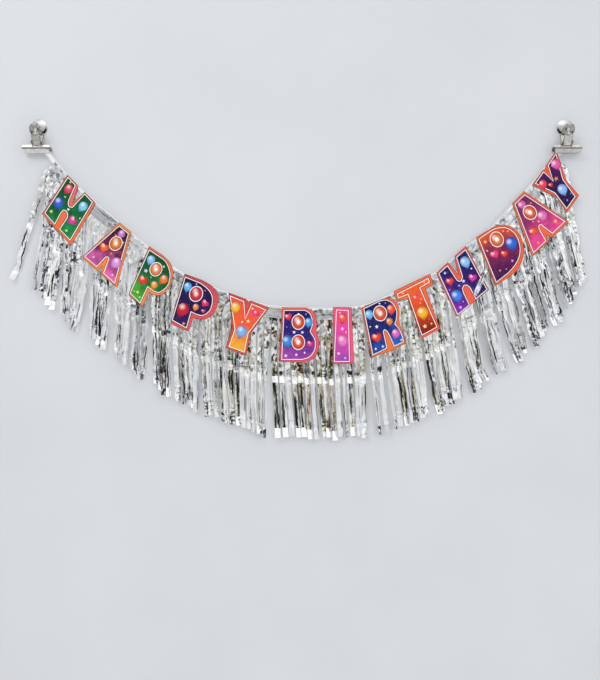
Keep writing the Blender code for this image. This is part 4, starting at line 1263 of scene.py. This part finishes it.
def make_fringe(finish):
    start = FILM_START
    pitch = (header.length - FILM_END - start) / sum(BUNCH_STRIPS)
    for number, (rough, warm, shifts, looks, tips) in enumerate(BUNCHES, 1):
        count = len(shifts)
        chance = random.Random(RANDOM_SEED * 10 + number)
        film = FilmMesh()
        for index, (shift, look, tip) in enumerate(zip(shifts, looks, tips)):
            left = start + index * pitch + SLIT / 2
            right = start + (index + 1) * pitch - SLIT / 2
            FilmStrip(left, right, count == 1, rough, warm, shift, look, tip, chance,
                      number * 10 + index).build(film)
        bmesh.ops.recalc_face_normals(film.mesh, faces=film.mesh.faces)
        name = "film_bunch_%02d" % number
        body = "bunch_01" if number == 1 else "banner"
        piece = finish_piece(name, film.mesh, [finish], body,
                             ["fringe_bunch_%02d" % number], 16)
        start += count * pitch


# Middle line of the strip that is folded round a card's leg: shares of the card's width and
# height, and how far in front of the card's face it lies
LEG_STRIP = ((1.22, 0.665, -0.0014), (1.14, 0.70, -0.0014), (1.075, 0.725, -0.0012),
             (1.045, 0.74, -0.0003), (1.035, 0.745, 0.0006), (0.99, 0.765, 0.0012),
             (0.90, 0.80, 0.0010), (0.79, 0.85, 0.0013), (0.70, 0.885, 0.0009),
             (0.645, 0.905, 0.0012))
# How much of the film's width shows, with its edges curled under, and the pitch of its painted shine
LEG_STRIP_CURL_SHARE = 0.82
LEG_SHINE_PITCH = 1 / 260


def make_leg_strip(finish):
    """The loose strip of film that is folded round the right leg of the second H."""
    card = Card(next(row for row in LETTERS if row[0] == "letter_10_h"))
    line = smooth_curve([in_front(card.point(across, down), card.face_depth + front)
                         for across, down, front in LEG_STRIP], 4)
    width = (header.length - FILM_END - FILM_START) / sum(BUNCH_STRIPS)
    film = FilmMesh()
    runs = [0.0]
    for a, b in zip(line, line[1:]):
        runs.append(runs[-1] + (b - a).length)
    way = (line[-1] - line[0]).normalized()
    across = way.cross(Vector((0.0, 1.0, 0.0))).normalized()
    cells = film_grid(film.mesh, len(line) - 1)
    for vert, (column, row) in cells.items():
        side = (column / STRIP_COLUMNS - 0.5) * width * LEG_STRIP_CURL_SHARE
        vert.co = line[row] + across * side
    for face in film.mesh.faces:
        for loop in face.loops:
            column, row = cells[loop.vert]
            # bands of painted shine along the strip
            shine = 0.55 + 0.2 * math.sin(runs[row] / LEG_SHINE_PITCH)
            film.dress(loop, (column / STRIP_COLUMNS * width, runs[row]),
                       (0.3, shine, 0.0, 1.0, 0.0))
    piece = finish_piece("film_leg_strip", film.mesh, [finish], card.name,
                         (), 25, FILM_THICKNESS / 3)


# Clips


# Painted shade and painted highlight on the left and right clip's neck, ledge and jaw, in the same
# terms as the ear's below
PLATE_PAINTED_LIGHT = {True: (0.34, -0.9, -0.1), False: (0.12, 0.16, 0.16)}
# How far the foot of the neck's painted shade bows down, and the width of the painted shade line along
# the crease
NECK_FOOT_BOW = 0.0022
CREASE_SHADE_LINE_WIDTH = 0.0013
# Painted light on the front and rear ear: its base painted shade, then its patches of painted shade
# and painted highlight: place towards the banner's middle, height, half width, half height (shares of
# the ear's radius) and how much darker or lighter
EAR_PAINTED_LIGHT = {
    True: (0.42, ((-0.06, -0.30, 0.13, 0.45, -1.1), (0.48, 0.05, 0.22, 0.30, 0.45),
                  (-0.66, -0.45, 0.20, 0.24, 0.40), (-0.10, 0.95, 0.60, 0.12, -0.6),
                  (0.75, 0.62, 0.22, 0.20, -0.5), (-0.30, 0.35, 0.30, 0.25, 0.15))),
    False: (0.05, ((0.45, 0.60, 0.45, 0.30, -0.9), (-0.72, 0.55, 0.28, 0.45, 0.34),
                   (0.10, 0.98, 0.60, 0.10, 0.25), (0.85, -0.02, 0.10, 0.16, 0.5))),
}


class ClipPlate:
    """One plate of a clip: its dished ear, its neck with two lugs, and its half of the jaw."""

    def __init__(self, side, front):
        self.name = "%s_clip_%s_plate" % (side, "front" if front else "rear")
        self.front, self.left = front, side == "left"
        self.x = CLIP_SPACING / 2 * (-1 if side == "left" else 1)
        self.ear = -FRONT_EAR_DROP if front else 0.0
        self.radius = FRONT_EAR_RADIUS if front else REAR_EAR_RADIUS
        self.neck = (FRONT_NECK_WIDTH if front else REAR_NECK_WIDTH) / 2
        half = PLATE_THICKNESS / 2
        way = 1 if front else -1
        self.neck_depth = CLIP_MIDDLE + way * NECK_HALF_DEPTH
        jaw = CLIP_MIDDLE + way * JAW_HALF_DEPTH
        if front:
            held = (RIBBON_DEPTH + RIBBON_THICKNESS if side == "left"
                    else Card(LETTERS[-1]).face_depth)
            pinch = held + SEAT_GAP + half
            upper = [(self.ear + self.radius, CLIP_MIDDLE + FRONT_EAR_RISE)]
        else:
            pinch = RIBBON_DEPTH - SEAT_GAP - half
            upper = [(self.radius, half), (-EAR_BEND_DROP, half)]
        self.folds = upper + [
            (-NECK_TOP_DROP, self.neck_depth), (-NECK_FOOT_DROP, self.neck_depth),
            (-LEDGE_DROP, jaw), (-CREASE_DROP, jaw), (-PINCH_DROP, pinch), (-LIP_DROP, pinch)]

    def fold_depth(self, height):
        for (upper, near), (lower, far) in zip(self.folds, self.folds[1:]):
            if height >= lower:
                return near + (far - near) * (upper - height) / (upper - lower)
        return self.folds[-1][1]

    def dish(self, x, height):
        """How far the ear's sheet stands forward: the front one is a cup, the rear one a dome."""
        reach = math.hypot(x, height - self.ear) / self.radius
        if not self.front:
            return EAR_DISH * max(1 - reach ** 2, 0.0) + EAR_RIM * ease((1 - reach) / 0.16)
        if reach > 1.0:
            return (EAR_DISH + EAR_RIM) * (1 - ease((reach - 1.0) / 0.22))
        return EAR_DISH * reach ** 2 + EAR_RIM * ease((reach - 0.84) / 0.16)

    def depth(self, x, height):
        fold = sum(self.fold_depth(height + FOLD_ROUND * step / 2) for step in range(-2, 3)) / 5
        sunk = (EAR_DISH + EAR_RIM) * ease((height + 0.030) / 0.010) if self.front else 0.0
        return fold - sunk + (self.dish(x, height) if height > -NECK_TOP_DROP else 0.0)

    def painted_ear_light(self, across, rise, reach):
        """Painted shade and painted highlight on the ear; across runs towards the banner's middle, and
        all are radius shares.
        """
        base, patches = EAR_PAINTED_LIGHT[self.front]
        for place, height, half_width, half_height, tone in patches:
            near = math.hypot((across - place) / half_width, (rise - height) / half_height)
            base += tone * ease(1.4 - near)
        # a painted dark ring round the front ear's rim; a painted dark reflection sliver low on the
        # rear ear's rim, towards the banner's middle
        if self.front:
            base += 0.40 * ease((reach - 0.88) / 0.08)
        elif across > 0:
            base += 1.5 * ease((reach - 0.74) / 0.07) * ease(1.6 - abs(rise + 0.45) / 0.24)
        return base

    def painted_light(self, x, height):
        """Above 0 painted shade, below 0 a painted highlight: on ear, neck, ledge, crease and jaw."""
        line = NECK_SHADE_LINE_WIDTH
        across, rise = (x if self.left else -x) / self.radius, (height - self.ear) / self.radius
        reach = math.hypot(across, rise)
        foot = -NECK_FOOT_DROP - NECK_FOOT_BOW * (1 - min(abs(x) / self.neck, 1.0) ** 2)
        neck, ledge, jaw = PLATE_PAINTED_LIGHT[self.left]
        if reach < 1.0:
            painted_light = self.painted_ear_light(across, rise, reach)
        elif abs(x) < self.neck * 1.02 and height > foot - line:
            inward = min(self.neck - abs(x), height - foot, (reach - 1.0) * self.radius + line)
            # a painted shade line along the neck's sides and foot
            painted_light = neck + (1.0 - neck) * (1 - min(max(inward, 0.0) / line, 1.0))
        else:
            # a painted highlight or painted shade on the ledge and jaw, by clip
            painted_light = ledge if height > -LEDGE_DROP - 0.0004 else jaw
        # a painted shade line along the crease under the ledge
        return max(painted_light, min(1.25 - abs(height + CREASE_DROP) / CREASE_SHADE_LINE_WIDTH, 1.0))

    def outline(self):
        """Half of the flat outline, from the top of the ear to the lip."""
        last = math.pi - math.asin(self.neck / self.radius)
        points = [Vector((self.radius * s, self.ear + self.radius * c))
                  for s, c in turns(last, EAR_STEPS)]
        points.append(Vector((self.neck, -NECK_TOP_DROP)))
        points += [Vector((self.neck + NECK_FLARE * (1 - c),
                           -NECK_FOOT_DROP + NECK_FLARE * (1 - s)))
                   for s, c in turns(math.pi / 2, 5)]
        return points + [Vector(place) for place in (
            (JAW_WIDTH / 2 - JAW_CORNER, -NECK_FOOT_DROP - JAW_CORNER),
            (JAW_WIDTH / 2, -NECK_FOOT_DROP - JAW_CORNER * 2),
            (JAW_WIDTH / 2, -CREASE_DROP), (LIP_WIDTH / 2, -PINCH_DROP),
            (LIP_WIDTH / 2 - JAW_CORNER / 2, -LIP_DROP))]

    def sheet(self):
        """The flat sheet with its hole, cut into small faces."""
        half = self.outline()
        whole = half + [Vector((-point.x, point.y)) for point in reversed(half[1:])]
        hole = [Vector(place) * EAR_HOLE_RADIUS + Vector((0, self.ear))
                for place in turns(2 * math.pi, 24)[:-1]]
        mesh = bmesh.new()
        edges = []
        for loop in (whole, hole):
            verts = [mesh.verts.new((point.x, 0.0, point.y)) for point in loop]
            edges += [mesh.edges.new(pair) for pair in closed(verts)]
        bmesh.ops.triangle_fill(mesh, edges=edges, use_beauty=True, use_dissolve=False,
                                normal=(0, -1, 0))
        levels = [-PIN_DROP + LUG_HALF_HEIGHT, -PIN_DROP - LUG_HALF_HEIGHT]
        height = self.ear + self.radius - UPPER_CUT_STEP
        while height > -LIP_DROP:
            levels.append(height)
            height -= UPPER_CUT_STEP if height > -NECK_FOOT_DROP else JAW_CUT_STEP
        cuts = [((0, 0, level), (0, 0, 1)) for level in levels]
        reach = int(self.radius / SIDE_CUT_STEP)
        cuts += [((SIDE_CUT_STEP * step, 0, 0), (1, 0, 0)) for step in range(-reach, reach + 1)]
        for place, square in cuts:
            bmesh.ops.bisect_plane(mesh, geom=mesh.verts[:] + mesh.edges[:] + mesh.faces[:],
                                   dist=1e-6, plane_co=place, plane_no=square)
        return mesh

    def add_lug(self, mesh, side):
        """A lug with a round end and a bore, square to the neck along one of its edges."""
        way = -1 if self.front else 1
        root = sorted((vert for vert in mesh.verts
                       if abs(vert.co.x - side * self.neck) < 1e-5
                       and abs(vert.co.z + PIN_DROP) < LUG_HALF_HEIGHT + 1e-5),
                      key=lambda vert: vert.co.z)
        middle = way * (NECK_HALF_DEPTH + LUG_REACH - LUG_HALF_HEIGHT)
        tip = [mesh.verts.new((side * self.neck, middle + way * LUG_HALF_HEIGHT * s,
                               -PIN_DROP + LUG_HALF_HEIGHT * c)) for s, c in turns(math.pi, 10)]
        ring = root + tip
        edges = [mesh.edges.get(pair) or mesh.edges.new(pair)
                 for pair in closed(ring)]
        bore = [mesh.verts.new((side * self.neck, way * NECK_HALF_DEPTH + PIN_BORE_RADIUS * s,
                                -PIN_DROP + PIN_BORE_RADIUS * c))
                for s, c in turns(2 * math.pi, 16)[:-1]]
        edges += [mesh.edges.new(pair) for pair in closed(bore)]
        bmesh.ops.triangle_fill(mesh, edges=edges, use_beauty=True, use_dissolve=False,
                                normal=(side, 0, 0))
        return tip + bore

    def build(self, nickel):
        mesh = self.sheet()
        painted_light = mesh.verts.layers.float.new("painted_light")
        lugs = self.add_lug(mesh, -1) + self.add_lug(mesh, 1)
        for vert in mesh.verts:
            x, height = vert.co.x, vert.co.z
            # a lug's own points take a flat painted shade and keep their depth from the neck
            vert[painted_light] = LUG_PAINTED_SHADE if vert in lugs else self.painted_light(x, height)
            vert.co.y = vert.co.y - self.neck_depth if vert in lugs else -self.depth(x, height)
            vert.co.x += self.x
        bmesh.ops.recalc_face_normals(mesh, faces=mesh.faces)
        finish_piece(self.name.replace("_plate", "_sheet"), mesh, [nickel],
                     self.name.replace("_plate", "") if self.front else "banner",
                     [self.name], 50, PLATE_THICKNESS, 0.00022)


def dress_nodes():
    nickel = nickel_finish("nickel_bright", "#c4c2bc", "#eceae6")
    for side in ("left", "right"):
        for front in (False, True):
            ClipPlate(side, front).build(nickel)
    wire = nickel_finish("wire_drawn", "#8f8e8b", "#c4c3bf")
    foam = foam_finish()
    for name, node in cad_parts.items():
        if name.endswith("_plate") or name.endswith("_pin"):
            chosen = nickel
        elif name.endswith("_spring"):
            chosen = wire
        elif "_pad_" in name:
            chosen = foam
        else:
            continue
        node.data.materials.clear()
        node.data.materials.append(chosen)


# Room, light and camera


WORLD_STRENGTH = 0.95
LENS = 38.1
SENSOR_WIDTH = 36.0
CAMERA_PLACE = (-0.005, -1.814, -0.535)
# Lamps: place, size and power; all aim at the middle of the banner
LAMP_AIM = (0.0, 0.0, -0.4)
LAMPS = {"key": ((-1.3, -1.9, 1.45), (1.3, 0.9), 14.0),
         "fill": ((1.7, -2.1, -0.35), (1.0, 1.0), 4.4)}


def place_stage(name, dark, light, rough, middle, across, up, see_through=False):
    """A flat piece of the room; its middle and its two half sides give its place."""
    kit = Finish("pale_" + name)
    soft = kit.noise(kit.object_place(), 3.0, 3.0)
    kit.set(Base_Color=kit.mix(kit.range(soft, 0.3, 0.7), dark, light),
            Roughness=rough)
    if see_through:
        shown = kit.times(kit.node("LightPath").outputs["Is Camera Ray"], kit.math(
            "SUBTRACT", 1.0, kit.node("NewGeometry").outputs["Backfacing"]))
        clear = kit.node("BsdfTransparent").outputs[0]
        blend = kit.node("MixShader", {0: shown, 1: clear, 2: kit.shader.outputs[0]})
        kit.feed(kit.tree.nodes["Material Output"].inputs["Surface"], blend.outputs[0])
    mesh = bmesh.new()
    bmesh.ops.create_grid(mesh, x_segments=1, y_segments=1, size=1.0)
    for vert in mesh.verts:
        vert.co = Vector(middle) + Vector(across) * vert.co.x + Vector(up) * vert.co.y
    data = bpy.data.meshes.new(name)
    mesh.to_mesh(data)
    mesh.free()
    data.materials.append(kit.material)
    add_object(name, data)


def make_room():
    """A pale wall just behind the banner, seen from the front alone, and a floor below it."""
    place_stage("wall", "#d4d7da", "#d9dbde", 0.85, (0.0, 0.0008, 0.9), (4.0, 0.0, 0.0),
                (0.0, 0.0, 2.4), see_through=True)
    place_stage("floor", "#d9dcdf", "#e1e3e6", 0.8, (0.0, 0.0, -1.5), (6.0, 0.0, 0.0),
                (0.0, 6.0, 0.0))


def make_world():
    world = bpy.data.worlds.new("studio")
    bpy.context.scene.world = world
    world.use_nodes = True
    kit = Finish(tree=world.node_tree)
    background = world.node_tree.nodes["Background"]
    way = kit.node("SeparateXYZ", {0: kit.node("TexCoord").outputs["Generated"]}).outputs
    height = kit.range(way[2], -1.0, 1.0)
    facing = kit.ramp(height, (
        (0.0, (0.50, 0.50, 0.495, 1)), (0.40, (0.57, 0.57, 0.566, 1)),
        (0.52, (0.64, 0.64, 0.638, 1)), (0.60, 0.72), (0.68, 1.1), (1.0, 1.3)))
    beside = kit.ramp(height, (
        (0.0, 0.52), (0.45, (0.71, 0.71, 0.715, 1)), (0.60, 0.88), (0.68, 1.1), (1.0, 1.2)))
    turned = kit.math("ABSOLUTE", way[0])
    room = kit.mix(kit.range(turned, 0.12, 0.42), facing, beside)
    side = kit.times(kit.range(way[1], 0.15, 0.60), kit.range(way[2], 0.75, 0.45))
    room = kit.mix(side, room, (0.70, 0.71, 0.72, 1))
    light = kit.node("LightPath")
    colour = kit.mix(light.outputs["Is Camera Ray"], room, "#e2e5e8")
    kit.feed(background.inputs["Color"], colour)
    background.inputs["Strength"].default_value = WORLD_STRENGTH


def add_softbox(name, place, size, energy):
    data = bpy.data.lights.new(name, "AREA")
    data.shape = "RECTANGLE"
    data.size, data.size_y = size
    data.energy = energy
    lamp = add_object(name, data)
    lamp.location = place
    lamp.visible_glossy = False
    lamp.rotation_mode = "QUATERNION"
    lamp.rotation_quaternion = (Vector(LAMP_AIM) - Vector(place)).to_track_quat("-Z", "Y")


def make_camera():
    data = bpy.data.cameras.new("camera")
    data.sensor_width = SENSOR_WIDTH
    data.lens = LENS
    camera = add_object("camera", data)
    camera.location = CAMERA_PLACE
    camera.rotation_euler = (math.radians(90), 0.0, 0.0)
    bpy.context.scene.camera = camera


make_camera()
make_world()
make_room()
for lamp_name, (place, size, power) in LAMPS.items():
    add_softbox(lamp_name, place, size, power)
silver = film_finish()
make_prints()
make_ribbon()
make_band(silver)
make_fringe(silver)
make_leg_strip(silver)
dress_nodes()

bpy.context.scene.view_settings.view_transform = "Standard"
